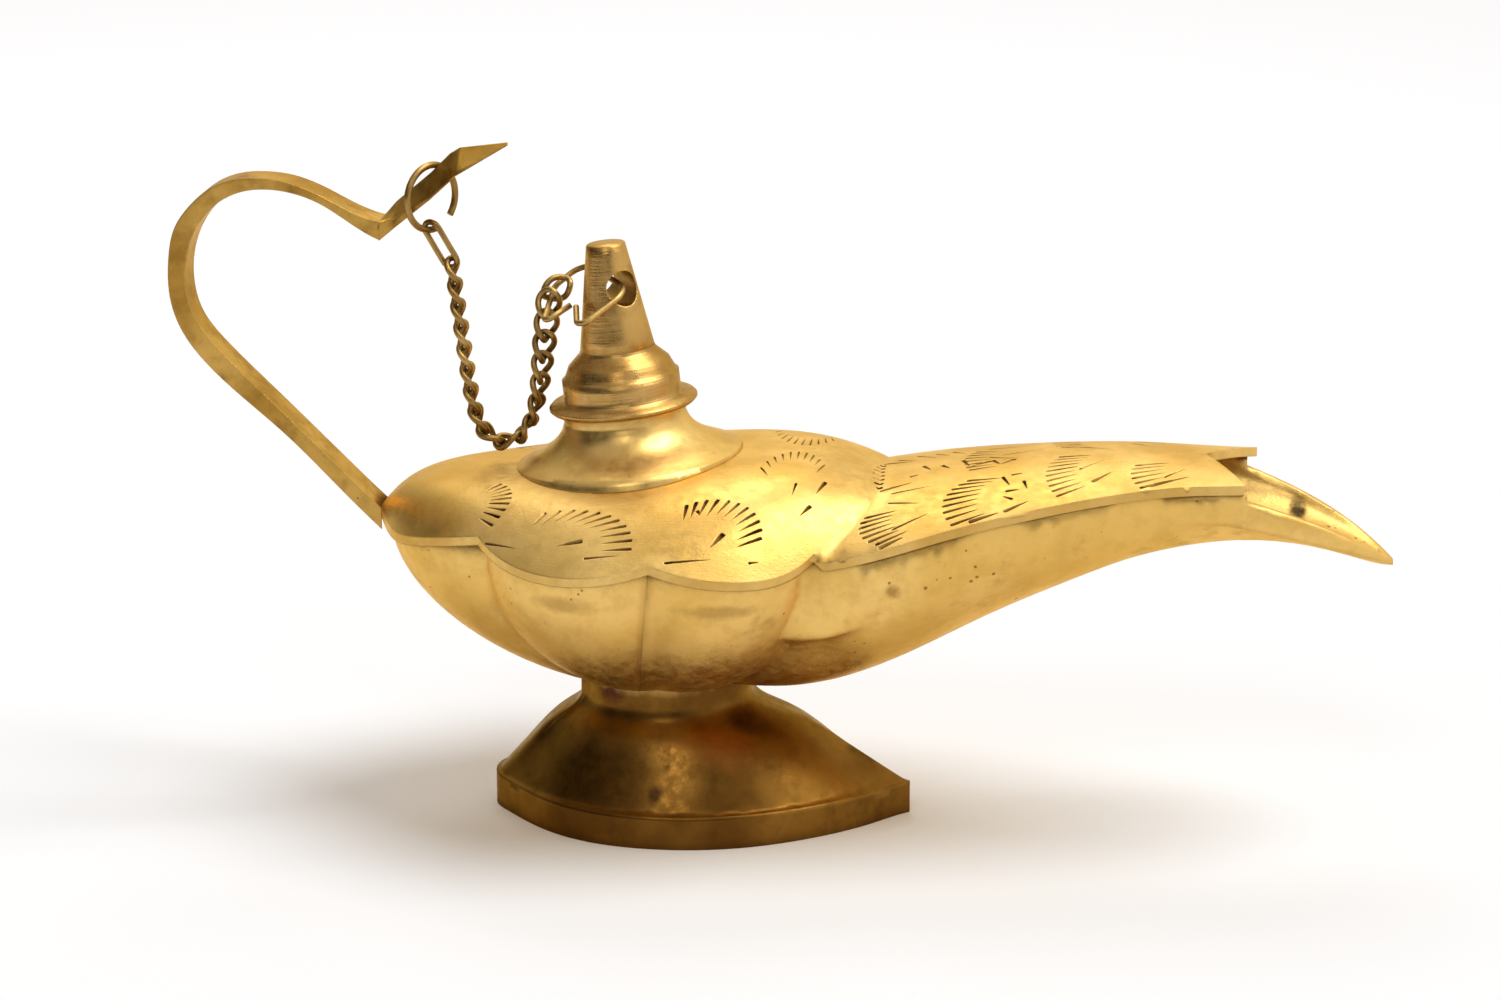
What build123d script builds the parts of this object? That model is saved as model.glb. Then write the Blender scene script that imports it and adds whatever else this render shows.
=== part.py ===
from build123d import *
import math
import os

# Genie oil lamp of brass: a lobed bowl with a long spout, an arched cover, a turned neck
# and stopper cap, a bent strip handle, a flared foot, and a chain from handle to cap.
# Millimetres, +Z up, +X towards the spout. Places are measured from the middle of the
# bowl, on the floor, and the last step centres the whole lamp on the origin.

# Bowl in plan: petals between cusps, deepest below the rim
BOWL_BACK = 35.2
BOWL_HALF_WIDTH = 26.1
BOWL_FRONT = 30.0
BOWL_CENTRE = 1.5
RIM_HEIGHT = 37.5
BOWL_DEPTH = 21.4
BOWL_FULLNESS = 1.75
LOWER_WALL = 1.35
PETAL_SWELL = 0.5
CUSP_SHARES = ((-0.548, 0.709), (0.082, 1.0), (0.648, 0.743))
PETAL_BULGE_SHARES = (0.119, 0.155, 0.13)
CREASE_SHARE = 0.97
BOWL_LEVEL_ANGLES = (0, 15, 30, 45, 60, 73)

# Spout: stations as shares of reach, greatest half width and edge height
SPOUT_REACH = 94.2
SPOUT_HALF_WIDTH = 20.3
SPOUT_HEIGHT = 47.0
SPOUT_WALL = 1.35
# Each row: along, half width, height of the edge, height of the keel
SPOUT_SHARES = (
    (0.064, 0.69, 0.806, 0.394),
    (0.149, 0.862, 0.806, 0.366),
    (0.242, 0.975, 0.806, 0.4),
    (0.318, 0.98, 0.847, 0.453),
    (0.417, 0.877, 0.9, 0.553),
    (0.51, 0.764, 0.938, 0.647),
    (0.62, 0.616, 0.974, 0.743),
    (0.725, 0.493, 0.994, 0.804),
    (0.803, 0.456, 0.97, 0.826),
    (0.87, 0.384, 0.915, 0.821),
    (0.938, 0.266, 0.853, 0.789),
    (0.981, 0.128, 0.8, 0.762),
    (1.0, 0.025, 0.77, 0.755),
)
COVERED_STATIONS = 10
SHALLOWEST_SHARE = 0.2

# Open trough at the spout's end: where it starts, and its edge line
TROUGH_START = 75.6
TROUGH_EDGE_SHARES = ((0.803, 0.968), (0.85, 0.934), (0.909, 0.883), (0.969, 0.813), (1.0, 0.77))

# Cover: a dome over the bowl and a vault over the spout
COVER_WALL = 1.2
COVER_LIP = 0.3
DOME_EDGE_HEIGHT = 38.3
DOME_RISE = 11.4
DOME_HALF_WIDTH = 28.0
DOME_FULLNESS = 3.4
# Each row: along as a share of the bowl's back reach, half width, rise
DOME_SHARES = (
    (-1.023, 0.071, 0.028),
    (-0.938, 0.25, 0.32),
    (-0.767, 0.536, 0.54),
    (-0.511, 0.804, 0.62),
    (-0.227, 0.957, 0.72),
    (0.114, 1.0, 0.81),
    (0.426, 0.921, 0.89),
    (0.625, 0.786, 0.87),
    (0.767, 0.68, 0.77),
    (0.938, 0.464, 0.47),
)
VAULT_RIDGE_HEIGHT = 49.4
VAULT_EDGE_HEIGHT = 48.1
VAULT_FULLNESS = 2.2
# Each row: along as a share of the spout's reach, half width, ridge height, edge height
VAULT_SHARES = (
    (0.064, 0.69, 0.81, 0.796),
    (0.149, 0.862, 0.87, 0.796),
    (0.242, 0.975, 0.905, 0.817),
    (0.318, 0.98, 0.936, 0.852),
    (0.417, 0.877, 0.967, 0.904),
    (0.51, 0.764, 0.985, 0.943),
    (0.62, 0.616, 1.0, 0.977),
    (0.725, 0.493, 1.0, 0.993),
    (0.87, 0.46, 0.996, 1.0),
)
ARCH_POINT_SHARES = (1.08, 0.9, 0.65, 0.35)
TOP_SHAPE_BASE = 20.0
PRISM_TOP = 56.0

# Notch at the cover's end: a V with its point on the ridge
NOTCH_POINT = 70.3
NOTCH_NEAR_CORNER = 75.3
NOTCH_FAR_CORNER = 76.8
NOTCH_HALF_WIDTH = 9.1
NOTCH_OVERRUN = 12.0

# Neck: turned flare standing on the dome, leaning a little to the back
AXIS_BACK = 3.0
AXIS_FOOT_HEIGHT = 47.1
AXIS_LEAN = 6.0
NECK_HEIGHT = 6.4
NECK_BASE_RADIUS = 14.4
NECK_COLLAR_RADIUS = 7.9
NECK_COLLAR_START = 4.9
NECK_SKIRT_RADIUS = 15.6
NECK_SKIRT_DROP = 3.0
NECK_WALL = 1.6
NECK_GROOVE = 0.18
BORE_RADIUS = 5.68
BORE_STRAIGHT = 3.2
FILLER_RADIUS = 9.0
NECK_FLARE_SHARES = ((0.3, 0.5), (0.64, 0.15))

# Stopper cap: a plug in the bore, a flange on the collar and a cone with a cross hole
PLUG_FIT = 0.08
PLUG_LENGTH = 3.4
SEAT_GAP = 0.1
FLANGE_RADIUS = 9.5
FLANGE_THICKNESS = 1.0
FLANGE_ROUND = 0.35
CAP_WALL_RADIUS = 7.55
CAP_WALL_TAPER = 0.2
CAP_WALL_TOP = 10.7
SHOULDER_RADIUS = 5.0
SHOULDER_TOP = 13.8
CONE_BASE_RADIUS = 4.75
CONE_TOP_RADIUS = 2.5
CAP_TOP = 27.6
CAP_GROOVE = 0.15
HOLE_RADIUS = 2.2
HOLE_HEIGHT = 22.3
HOLE_ANGLE = 41.5

# Cap ring: wire through the cap's cross hole, its ends turned in
CAP_RING_WIRE = 0.75
CAP_RING_TILT = 27.2
CAP_RING_SIZE = 9.0
# Corners in the ring's plane: across the hole and out from it
CAP_RING_CORNER_SHARES = (
    (-0.06, 0.6),
    (0.5, 0.99),
    (0.47, 0.01),
    (-0.98, -0.25),
    (-0.95, 0.36),
    (-0.26, 1.08),
    (-0.2, 0.6),
)
CAP_RING_BEND_SHARES = (0.13, 0.32, 0.24, 0.3, 0.07)
CHAIN_END_SHARE = 0.39

# Handle: flat strip bent up from the rim, ending in a stem with a leaf
STRIP_WIDTH = 5.0
HANDLE_BACK = 61.8
HANDLE_HEIGHT = 87.2
# Places as shares of the handle's back reach and of its height
STRIP_OUTER_SHARES = (
    (-0.542, 0.405),
    (-0.631, 0.466),
    (-0.77, 0.565),
    (-0.926, 0.665),
    (-0.976, 0.713),
    (-0.998, 0.756),
    (-1.0, 0.824),
    (-0.986, 0.867),
    (-0.954, 0.9),
    (-0.905, 0.929),
    (-0.852, 0.942),
    (-0.805, 0.944),
    (-0.753, 0.94),
    (-0.685, 0.923),
    (-0.618, 0.899),
    (-0.557, 0.884),
)
STRIP_INNER_SHARES = (
    (-0.557, 0.857),
    (-0.6, 0.873),
    (-0.678, 0.908),
    (-0.735, 0.923),
    (-0.792, 0.928),
    (-0.845, 0.923),
    (-0.893, 0.906),
    (-0.934, 0.875),
    (-0.964, 0.82),
    (-0.966, 0.775),
    (-0.949, 0.732),
    (-0.906, 0.691),
    (-0.813, 0.625),
    (-0.674, 0.528),
    (-0.565, 0.453),
    (-0.537, 0.435),
)
# Each row: along, underside, edge top, ridge, half width as a share of the strip's width
LEAF_SHARES = (
    (-0.558, 0.856, 0.884, 0.8845, 0.5),
    (-0.5275, 0.8739, 0.8876, 0.9094, 0.39),
    (-0.4531, 0.9163, 0.9209, 0.9541, 0.33),
    (-0.4142, 0.9415, 0.9461, 0.9817, 0.34),
    (-0.3932, 0.9564, 0.961, 0.9908, 0.74),
    (-0.2945, 0.9954, 0.9977, 1.0, 0.05),
)

# Handle ring round the stem, and the hook link below it
HANDLE_RING_WIRE = 0.87
HANDLE_RING_RADIUS = 4.15
HANDLE_RING_BACK = 28.1
HANDLE_RING_HEIGHT = 79.9
HANDLE_RING_TURN = 54.0
HANDLE_RING_START = 165.0
HANDLE_RING_END = 490.0
HOOK_WIRE = 0.75
HOOK_PLAY = 0.5
HOOK_HALF_WIDTH = 1.2
HOOK_DROP = 4.85
HOOK_SEAT = 180.0
HOOK_ANGLE = -60.5
HOOK_ROLL = -55.0

# Chain of twisted links, all alike
LINK_WIRE = 0.8
LINK_PITCH = 2.78
LINK_PLAY = 0.3
LINK_HALF_WIDTH = 1.4
LINK_TWIST = 50.0
LINK_LEAD_SHARE = 1.2
LINK_COUNT = 17
STRAND_ANGLE = 83.0
# Rolls of the last links about their own length, one after another
STRAND_ROLLS = (-4.0, -12.0, -24.0, -36.0, -48.0, -60.0, -71.0)
END_GRIP = 0.5
END_SLACK = 0.2
END_LINK_SHARE = 0.12
END_LINK_ANGLE = 30.0
END_LINK_ROLL = 90.0

# Foot: waist under the bowl, flare, and a drop-shaped rim band
FOOT_BACK = 20.8
FOOT_FRONT = 33.4
FOOT_HALF_WIDTH = 17.8
FOOT_RIM_HEIGHT = 4.3
FOOT_STEP = 0.4
FOOT_WALL = 1.8
FOOT_TOP = 16.5
FOOT_OVERRUN = 5.0
WAIST_BACK = 9.6
WAIST_FRONT = 13.2
WAIST_HALF_WIDTH = 10.5
FOOT_NOSE_TURN = 50.0
FOOT_CEILING = 13.0
FOOT_RIM_SHARES = (
    (0.0, 0.0),
    (0.04, 0.3),
    (0.13, 0.62),
    (0.25, 0.88),
    (0.42, 1.0),
    (0.6, 0.93),
    (0.78, 0.65),
    (0.92, 0.27),
    (1.0, 0.0),
)
# Each row: height between rim and waist, spread between waist and rim
FOOT_FLARE_SHARES = (
    (0.0, 1.0),
    (0.1, 0.9),
    (0.28, 0.73),
    (0.45, 0.57),
    (0.61, 0.41),
    (0.79, 0.15),
    (1.0, 0.0),
)

CUT_OVERRUN = 2.0


def station_plane(along):
    """A plane square to X whose own x runs across the lamp and whose own y runs up."""
    return Plane(origin=(along, 0, 0), x_dir=(0, 1, 0), z_dir=(1, 0, 0))


def axis_plane():
    """The plane at the foot of the neck's axis, square to that leaning axis."""
    lean = math.radians(AXIS_LEAN)
    return Plane(
        origin=(-AXIS_BACK, 0, AXIS_FOOT_HEIGHT),
        x_dir=(math.cos(lean), 0, math.sin(lean)),
        z_dir=(-math.sin(lean), 0, math.cos(lean)),
    )


def cusp_places(crease_share):
    """Cusps of one side from the back to the spout, drawn in by the crease share."""
    places = [(-BOWL_BACK * crease_share, 0)]
    for along, out in CUSP_SHARES:
        places.append((along * BOWL_BACK * crease_share, out * BOWL_HALF_WIDTH * crease_share))
    return places


def petal_crown(start, end, bulge):
    """The point between two cusps that stands out from their chord by the bulge."""
    run = (end[0] - start[0], end[1] - start[1])
    length = math.hypot(run[0], run[1])
    return (
        (start[0] + end[0]) / 2 - run[1] / length * bulge,
        (start[1] + end[1]) / 2 + run[0] / length * bulge,
    )


def bowl_wire(crease_share, swell, lip, reach_share, height):
    """The lobed outline at one height, drawn in about the bowl's centre."""

    def place(point):
        grown = 1 + lip / BOWL_HALF_WIDTH
        along = BOWL_CENTRE + (point[0] * grown - BOWL_CENTRE) * reach_share
        return (along, point[1] * grown * reach_share, height)

    cusps = cusp_places(crease_share)
    far_side = []
    near_side = []
    for start, end, share in zip(cusps, cusps[1:], PETAL_BULGE_SHARES):
        crown = petal_crown(start, end, share * BOWL_HALF_WIDTH + swell)
        far_side.append(ThreePointArc(place(start), place(crown), place(end)))
        mirrored = [(x, -y) for x, y in (start, crown, end)]
        near_side.append(ThreePointArc(*[place(point) for point in mirrored]))
    last = cusps[-1]
    front = ThreePointArc(place(last), place((BOWL_FRONT, 0)), place((last[0], -last[1])))
    return Wire(far_side + [front] + near_side[::-1])


def bowl_solid(wall):
    """The bowl below the rim and a straight wall above it, drawn in by the wall."""
    wires = []
    for angle in BOWL_LEVEL_ANGLES:
        turn = math.radians(angle)
        reach = math.cos(turn) ** (2 / BOWL_FULLNESS) * (1 - wall / BOWL_HALF_WIDTH)
        height = RIM_HEIGHT - (BOWL_DEPTH - wall) * math.sin(turn) ** (2 / BOWL_FULLNESS)
        wires.append(bowl_wire(CREASE_SHARE, PETAL_SWELL, 0, reach, height))
    cup = Solid.make_loft(wires)
    upper = extrude(make_face(wires[0]), amount=PRISM_TOP - RIM_HEIGHT, dir=(0, 0, 1))
    return cup + upper


def horn_wire(along, half_width, edge, keel, top):
    """One spout section: half an ellipse below the edge and straight sides above it."""
    points = []
    for step in range(7):
        turn = math.pi * step / 6
        points.append((half_width * math.cos(turn), edge - (edge - keel) * math.sin(turn)))
    belly = Spline(*points, tangents=[(0, -1), (0, 1)])
    left = Line(points[-1], (-half_width, top))
    lid = Line((-half_width, top), (half_width, top))
    right = Line((half_width, top), points[0])
    wire = Wire([belly, left, lid, right])
    return station_plane(along) * wire


def horn_solid(wall):
    """The spout's belly with straight sides, drawn in by the wall."""
    wires = []
    for along, width, edge, keel in SPOUT_SHARES:
        half_width = width * SPOUT_HALF_WIDTH - wall
        if half_width <= 0:
            break
        floor = keel * SPOUT_HEIGHT + wall
        rim = max(edge * SPOUT_HEIGHT, floor + half_width * SHALLOWEST_SHARE)
        wires.append(horn_wire(along * SPOUT_REACH, half_width, rim, floor, PRISM_TOP))
    return Solid.make_loft(wires)


def arch_wire(along, half_width, edge, ridge, fullness, base):
    """One cover section: an arch over the edge height, with straight sides to the base."""
    points = []
    for share in ARCH_POINT_SHARES + (0,) + tuple(-share for share in reversed(ARCH_POINT_SHARES)):
        rise = 1 - abs(share) ** fullness
        points.append((share * half_width, edge + (ridge - edge) * rise))
    arch = Spline(*points)
    left = Line(points[-1], (points[-1][0], base))
    floor = Line((points[-1][0], base), (points[0][0], base))
    right = Line((points[0][0], base), points[0])
    return station_plane(along) * Wire([arch, left, floor, right])


def dome_solid(drop):
    """The dome over the bowl, lowered by the drop."""
    wires = []
    for along, width, rise in DOME_SHARES:
        edge = DOME_EDGE_HEIGHT - drop
        ridge = edge + rise * DOME_RISE
        half_width = width * DOME_HALF_WIDTH
        wires.append(
            arch_wire(along * BOWL_BACK, half_width, edge, ridge, DOME_FULLNESS, TOP_SHAPE_BASE - drop)
        )
    return Solid.make_loft(wires)


def vault_solid(drop):
    """The vault over the spout, lowered by the drop."""
    wires = []
    for along, width, ridge, edge in VAULT_SHARES:
        wires.append(
            arch_wire(
                along * SPOUT_REACH,
                width * SPOUT_HALF_WIDTH,
                edge * VAULT_EDGE_HEIGHT - drop,
                ridge * VAULT_RIDGE_HEIGHT - drop,
                VAULT_FULLNESS,
                TOP_SHAPE_BASE - drop,
            )
        )
    return Solid.make_loft(wires)


def top_shape(drop):
    """Everything below the cover's outer face, lowered by the drop."""
    return dome_solid(drop) + vault_solid(drop)


def cover_prism():
    """The cover's plan, bowl and spout together, as a tall prism."""
    bowl = make_face(bowl_wire(1, 0, COVER_LIP, 1, TOP_SHAPE_BASE))
    side = []
    for along, width, edge, keel in SPOUT_SHARES[:COVERED_STATIONS]:
        side.append((along * SPOUT_REACH, width * SPOUT_HALF_WIDTH + COVER_LIP, TOP_SHAPE_BASE))
    mirrored = [(x, -y, z) for x, y, z in side]
    spout = make_face(
        Wire(
            [
                Spline(*side),
                Line(side[-1], mirrored[-1]),
                Spline(*mirrored[::-1]),
                Line(mirrored[0], side[0]),
            ]
        )
    )
    height = PRISM_TOP - TOP_SHAPE_BASE
    return extrude(bowl, amount=height, dir=(0, 0, 1)) + extrude(spout, amount=height, dir=(0, 0, 1))


def notch_cutter():
    """The V cut that opens the cover's end over the trough."""
    end = NOTCH_FAR_CORNER + NOTCH_OVERRUN
    corners = [
        (NOTCH_POINT, 0),
        (NOTCH_NEAR_CORNER, -NOTCH_HALF_WIDTH),
        (NOTCH_NEAR_CORNER, -NOTCH_HALF_WIDTH - NOTCH_OVERRUN),
        (end, -NOTCH_HALF_WIDTH - NOTCH_OVERRUN),
        (end, NOTCH_HALF_WIDTH + NOTCH_OVERRUN),
        (NOTCH_FAR_CORNER, NOTCH_HALF_WIDTH + NOTCH_OVERRUN),
        (NOTCH_FAR_CORNER, NOTCH_HALF_WIDTH),
    ]
    face = make_face(Polyline(*corners, close=True))
    return extrude(Pos(0, 0, TOP_SHAPE_BASE) * face, amount=PRISM_TOP - TOP_SHAPE_BASE + CUT_OVERRUN)


def axis_cylinder(radius, start, end):
    """A cylinder along the neck's axis between two heights on it."""
    return axis_plane() * Pos(0, 0, (start + end) / 2) * Cylinder(radius, end - start)


def make_upper_shell(outer_top, inner_top):
    """The arched cover with its filler hole and its notch, and the same cover filled."""
    filled = (cover_prism() & outer_top) - notch_cutter()
    cover = filled - inner_top
    return cover - axis_cylinder(FILLER_RADIUS, -NECK_HEIGHT, NECK_HEIGHT), filled


def trough_limit():
    """What lies under the trough's edge line, from the trough's start to past the tip."""
    points = [(x * SPOUT_REACH, z * SPOUT_HEIGHT) for x, z in TROUGH_EDGE_SHARES]
    points[0] = (TROUGH_START, points[0][1])
    end = SPOUT_REACH + CUT_OVERRUN
    slope = (points[-1][1] - points[-2][1]) / (points[-1][0] - points[-2][0])
    tip = (end, points[-1][1] + slope * CUT_OVERRUN)
    edge = Spline(*points, tip)
    floor_left = (TROUGH_START, TOP_SHAPE_BASE)
    floor_right = (end, TOP_SHAPE_BASE)
    outline = [
        edge,
        Line(tip, floor_right),
        Line(floor_right, floor_left),
        Line(floor_left, points[0]),
    ]
    face = Plane.XZ * make_face(Wire(outline))
    return extrude(face, amount=SPOUT_HALF_WIDTH, both=True)


def make_lower_shell(inner_top):
    """The lobed bowl and the spout's belly with its open trough, and the same shell filled."""
    outer = bowl_solid(0) + horn_solid(0)
    hollow = bowl_solid(LOWER_WALL) + horn_solid(SPOUT_WALL)
    past_trough = SPOUT_REACH + CUT_OVERRUN
    before = Pos((TROUGH_START - past_trough) / 2, 0, 0) * Box(
        TROUGH_START + past_trough, 2 * PRISM_TOP, 4 * PRISM_TOP
    )
    limit = (inner_top & before) + trough_limit()
    filled = outer & limit
    return filled - hollow, filled


def flare_points():
    """The neck's outer flare from its base up to the collar."""
    span = NECK_BASE_RADIUS - NECK_COLLAR_RADIUS
    points = [(NECK_BASE_RADIUS, 0)]
    for height, out in NECK_FLARE_SHARES:
        points.append((NECK_COLLAR_RADIUS + span * out, height * NECK_COLLAR_START))
    points.append((NECK_COLLAR_RADIUS, NECK_COLLAR_START))
    return points


def make_neck(dome):
    """The turned neck: flared skirt, grooved collar and a bore that opens downwards."""
    outer = flare_points()
    skirt = (NECK_SKIRT_RADIUS, -NECK_SKIRT_DROP)
    inner_skirt = (NECK_SKIRT_RADIUS - NECK_WALL, -NECK_SKIRT_DROP)
    groove_step = (NECK_HEIGHT - NECK_COLLAR_START) / 5
    collar = [outer[-1]]
    for step in (1, 2, 3, 4):
        radius = NECK_COLLAR_RADIUS - (NECK_GROOVE if step % 2 else 0)
        collar.append((radius, NECK_COLLAR_START + step * groove_step))
    collar.append((NECK_COLLAR_RADIUS, NECK_HEIGHT))
    collar.append((BORE_RADIUS, NECK_HEIGHT))
    collar.append((BORE_RADIUS, BORE_STRAIGHT))
    throat = (NECK_BASE_RADIUS - NECK_WALL, 0)
    middle = ((BORE_RADIUS + throat[0]) / 2, (BORE_STRAIGHT - NECK_WALL) / 2)
    outline = [
        Line(skirt, outer[0]),
        Spline(*outer),
        Polyline(*collar),
        Spline((BORE_RADIUS, BORE_STRAIGHT), middle, throat),
        Line(throat, inner_skirt),
        Line(inner_skirt, skirt),
    ]
    section = Plane.XZ * make_face(Wire(edges_of(outline)))
    bell = axis_plane() * revolve(section, Axis.Z)
    return bell - dome


def edges_of(shapes):
    """All edges of the given lines, in order."""
    edges = []
    for shape in shapes:
        edges.extend(shape.edges())
    return edges


def make_cap():
    """The turned stopper cap with its cross hole for the ring."""
    plug_radius = BORE_RADIUS - PLUG_FIT
    seat = NECK_HEIGHT + SEAT_GAP
    flange_top = seat + FLANGE_THICKNESS
    wall_top_radius = CAP_WALL_RADIUS - CAP_WALL_TAPER
    groove = CAP_GROOVE
    outline = Polyline(
        (0, NECK_HEIGHT - PLUG_LENGTH),
        (plug_radius - groove, NECK_HEIGHT - PLUG_LENGTH),
        (plug_radius, NECK_HEIGHT - PLUG_LENGTH + groove),
        (plug_radius, seat),
        (FLANGE_RADIUS - FLANGE_ROUND, seat),
        (FLANGE_RADIUS, seat + FLANGE_ROUND),
        (FLANGE_RADIUS, flange_top - FLANGE_ROUND),
        (FLANGE_RADIUS - FLANGE_ROUND, flange_top),
        (CAP_WALL_RADIUS, flange_top),
        (wall_top_radius + groove, CAP_WALL_TOP - groove),
        (wall_top_radius - groove, CAP_WALL_TOP),
        ((wall_top_radius + SHOULDER_RADIUS) / 2 + 2 * groove, (CAP_WALL_TOP + SHOULDER_TOP) / 2),
        (SHOULDER_RADIUS, SHOULDER_TOP - groove),
        (SHOULDER_RADIUS - groove, SHOULDER_TOP),
        (SHOULDER_RADIUS - groove, SHOULDER_TOP + groove),
        (CONE_BASE_RADIUS - groove, SHOULDER_TOP + 2 * groove),
        (CONE_BASE_RADIUS, SHOULDER_TOP + 3 * groove),
        (CONE_TOP_RADIUS, CAP_TOP - groove),
        (CONE_TOP_RADIUS - groove, CAP_TOP),
        (0, CAP_TOP),
        close=True,
    )
    body = axis_plane() * revolve(Plane.XZ * make_face(outline), Axis.Z)
    return body - hole_cutter()


def hole_centre():
    """Where the cap's cross hole meets its axis."""
    return axis_plane().from_local_coords(Vector(0, 0, HOLE_HEIGHT))


def hole_direction():
    """The level direction of the cap's cross hole."""
    turn = math.radians(HOLE_ANGLE)
    return Vector(math.sin(turn), -math.cos(turn), 0)


def hole_cutter():
    """The cross hole, long enough to pass both sides of the cone."""
    plane = Plane(origin=hole_centre(), z_dir=hole_direction())
    return plane * Cylinder(HOLE_RADIUS, 4 * CONE_BASE_RADIUS)


def cap_ring_plane():
    """The cap ring's plane: own x along the hole, own y outwards and down."""
    across = hole_direction()
    level_out = Vector(-math.cos(math.radians(HOLE_ANGLE)), -math.sin(math.radians(HOLE_ANGLE)), 0)
    tilt = math.radians(CAP_RING_TILT)
    out = level_out * math.cos(tilt) - Vector(0, 0, 1) * math.sin(tilt)
    return Plane(origin=hole_centre(), x_dir=across, z_dir=across.cross(out))


def cap_ring_corners():
    """The corners of the cap ring's wire in its own plane."""
    return [(x * CAP_RING_SIZE, y * CAP_RING_SIZE) for x, y in CAP_RING_CORNER_SHARES]


def along_ring_side(share):
    """A place on the ring's long lower side, between its fifth and sixth corners."""
    start = Vector(*cap_ring_corners()[4])
    end = Vector(*cap_ring_corners()[5])
    return cap_ring_plane().from_local_coords(start + (end - start) * share)


def make_cap_ring():
    """The bent wire ring, open where its two ends meet."""
    corners = cap_ring_corners()
    bends = [share * CAP_RING_SIZE for share in CAP_RING_BEND_SHARES]
    path = cap_ring_plane() * FilletPolyline(*corners, radius=bends)
    return wire_along(path, CAP_RING_WIRE)


def wire_along(path, thickness):
    """Round wire swept along a path."""
    start = path @ 0
    section = Plane(origin=start, z_dir=path % 0) * Circle(thickness / 2)
    return sweep(section, path=path)


def make_handle(filled_body):
    """The bent strip with its stem and gabled leaf, cut where it meets the rim."""
    outer = [(x * HANDLE_BACK, z * HANDLE_HEIGHT) for x, z in STRIP_OUTER_SHARES]
    inner = [(x * HANDLE_BACK, z * HANDLE_HEIGHT) for x, z in STRIP_INNER_SHARES]
    outline = [Spline(*outer), Line(outer[-1], inner[0]), Spline(*inner), Line(inner[-1], outer[0])]
    face = Plane.XZ * make_face(Wire(outline))
    strip = extrude(face, amount=STRIP_WIDTH / 2, both=True)
    sections = []
    for along, under, edge, ridge, width in LEAF_SHARES:
        half = width * STRIP_WIDTH
        section = Polyline(
            (-half, under * HANDLE_HEIGHT),
            (half, under * HANDLE_HEIGHT),
            (half, edge * HANDLE_HEIGHT),
            (0, ridge * HANDLE_HEIGHT),
            (-half, edge * HANDLE_HEIGHT),
            close=True,
        )
        sections.append(station_plane(along * HANDLE_BACK) * section.wire())
    leaf = Solid.make_loft(sections, ruled=True)
    handle = strip + leaf
    for piece in filled_body:
        handle = handle - piece
    return handle


def handle_ring_plane():
    """The handle ring's upright plane: own x away from the handle, own y up."""
    turn = math.radians(HANDLE_RING_TURN)
    level = Vector(math.cos(turn), math.sin(turn), 0)
    centre = Vector(-HANDLE_RING_BACK, 0, HANDLE_RING_HEIGHT)
    return Plane(origin=centre, x_dir=level, z_dir=level.cross(Vector(0, 0, 1)))


def handle_ring_place(angle):
    """A place on the handle ring, the angle counted from its top towards the cap."""
    turn = math.radians(angle)
    local = Vector(HANDLE_RING_RADIUS * math.sin(turn), HANDLE_RING_RADIUS * math.cos(turn), 0)
    return handle_ring_plane().from_local_coords(local)


def make_handle_ring():
    """The open wire ring that hangs on the handle's stem."""
    middle = (HANDLE_RING_START + HANDLE_RING_END) / 2
    path = ThreePointArc(
        handle_ring_place(HANDLE_RING_START),
        handle_ring_place(middle),
        handle_ring_place(HANDLE_RING_END),
    )
    return wire_along(path, HANDLE_RING_WIRE)


def chain_direction():
    """The level direction of the chain's upright plane, from handle ring to cap ring."""
    end = along_ring_side(CHAIN_END_SHARE)
    start = hook_top()
    return Vector(end.X - start.X, end.Y - start.Y, 0).normalized()


def chain_frame(origin, angle, roll):
    """A link's frame: own x along the link, own y across the chain's plane, then rolled."""
    level = chain_direction()
    turn = math.radians(angle)
    along = level * math.cos(turn) + Vector(0, 0, 1) * math.sin(turn)
    across = Vector(-level.Y, level.X, 0)
    plane = Plane(origin=origin, x_dir=along, z_dir=along.cross(across))
    return plane * Rot(roll, 0, 0)


def step_along(start, angle, length):
    """The place a length away from a start, at an angle in the chain's plane."""
    turn = math.radians(angle)
    return start + chain_direction() * (length * math.cos(turn)) + Vector(0, 0, length * math.sin(turn))


def hook_top():
    """Where the hook link bears on the handle ring's wire."""
    return handle_ring_place(HOOK_SEAT)


def chain_start():
    """Where the first link turns in the hook link."""
    return step_along(hook_top(), HOOK_ANGLE, HOOK_DROP)


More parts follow.
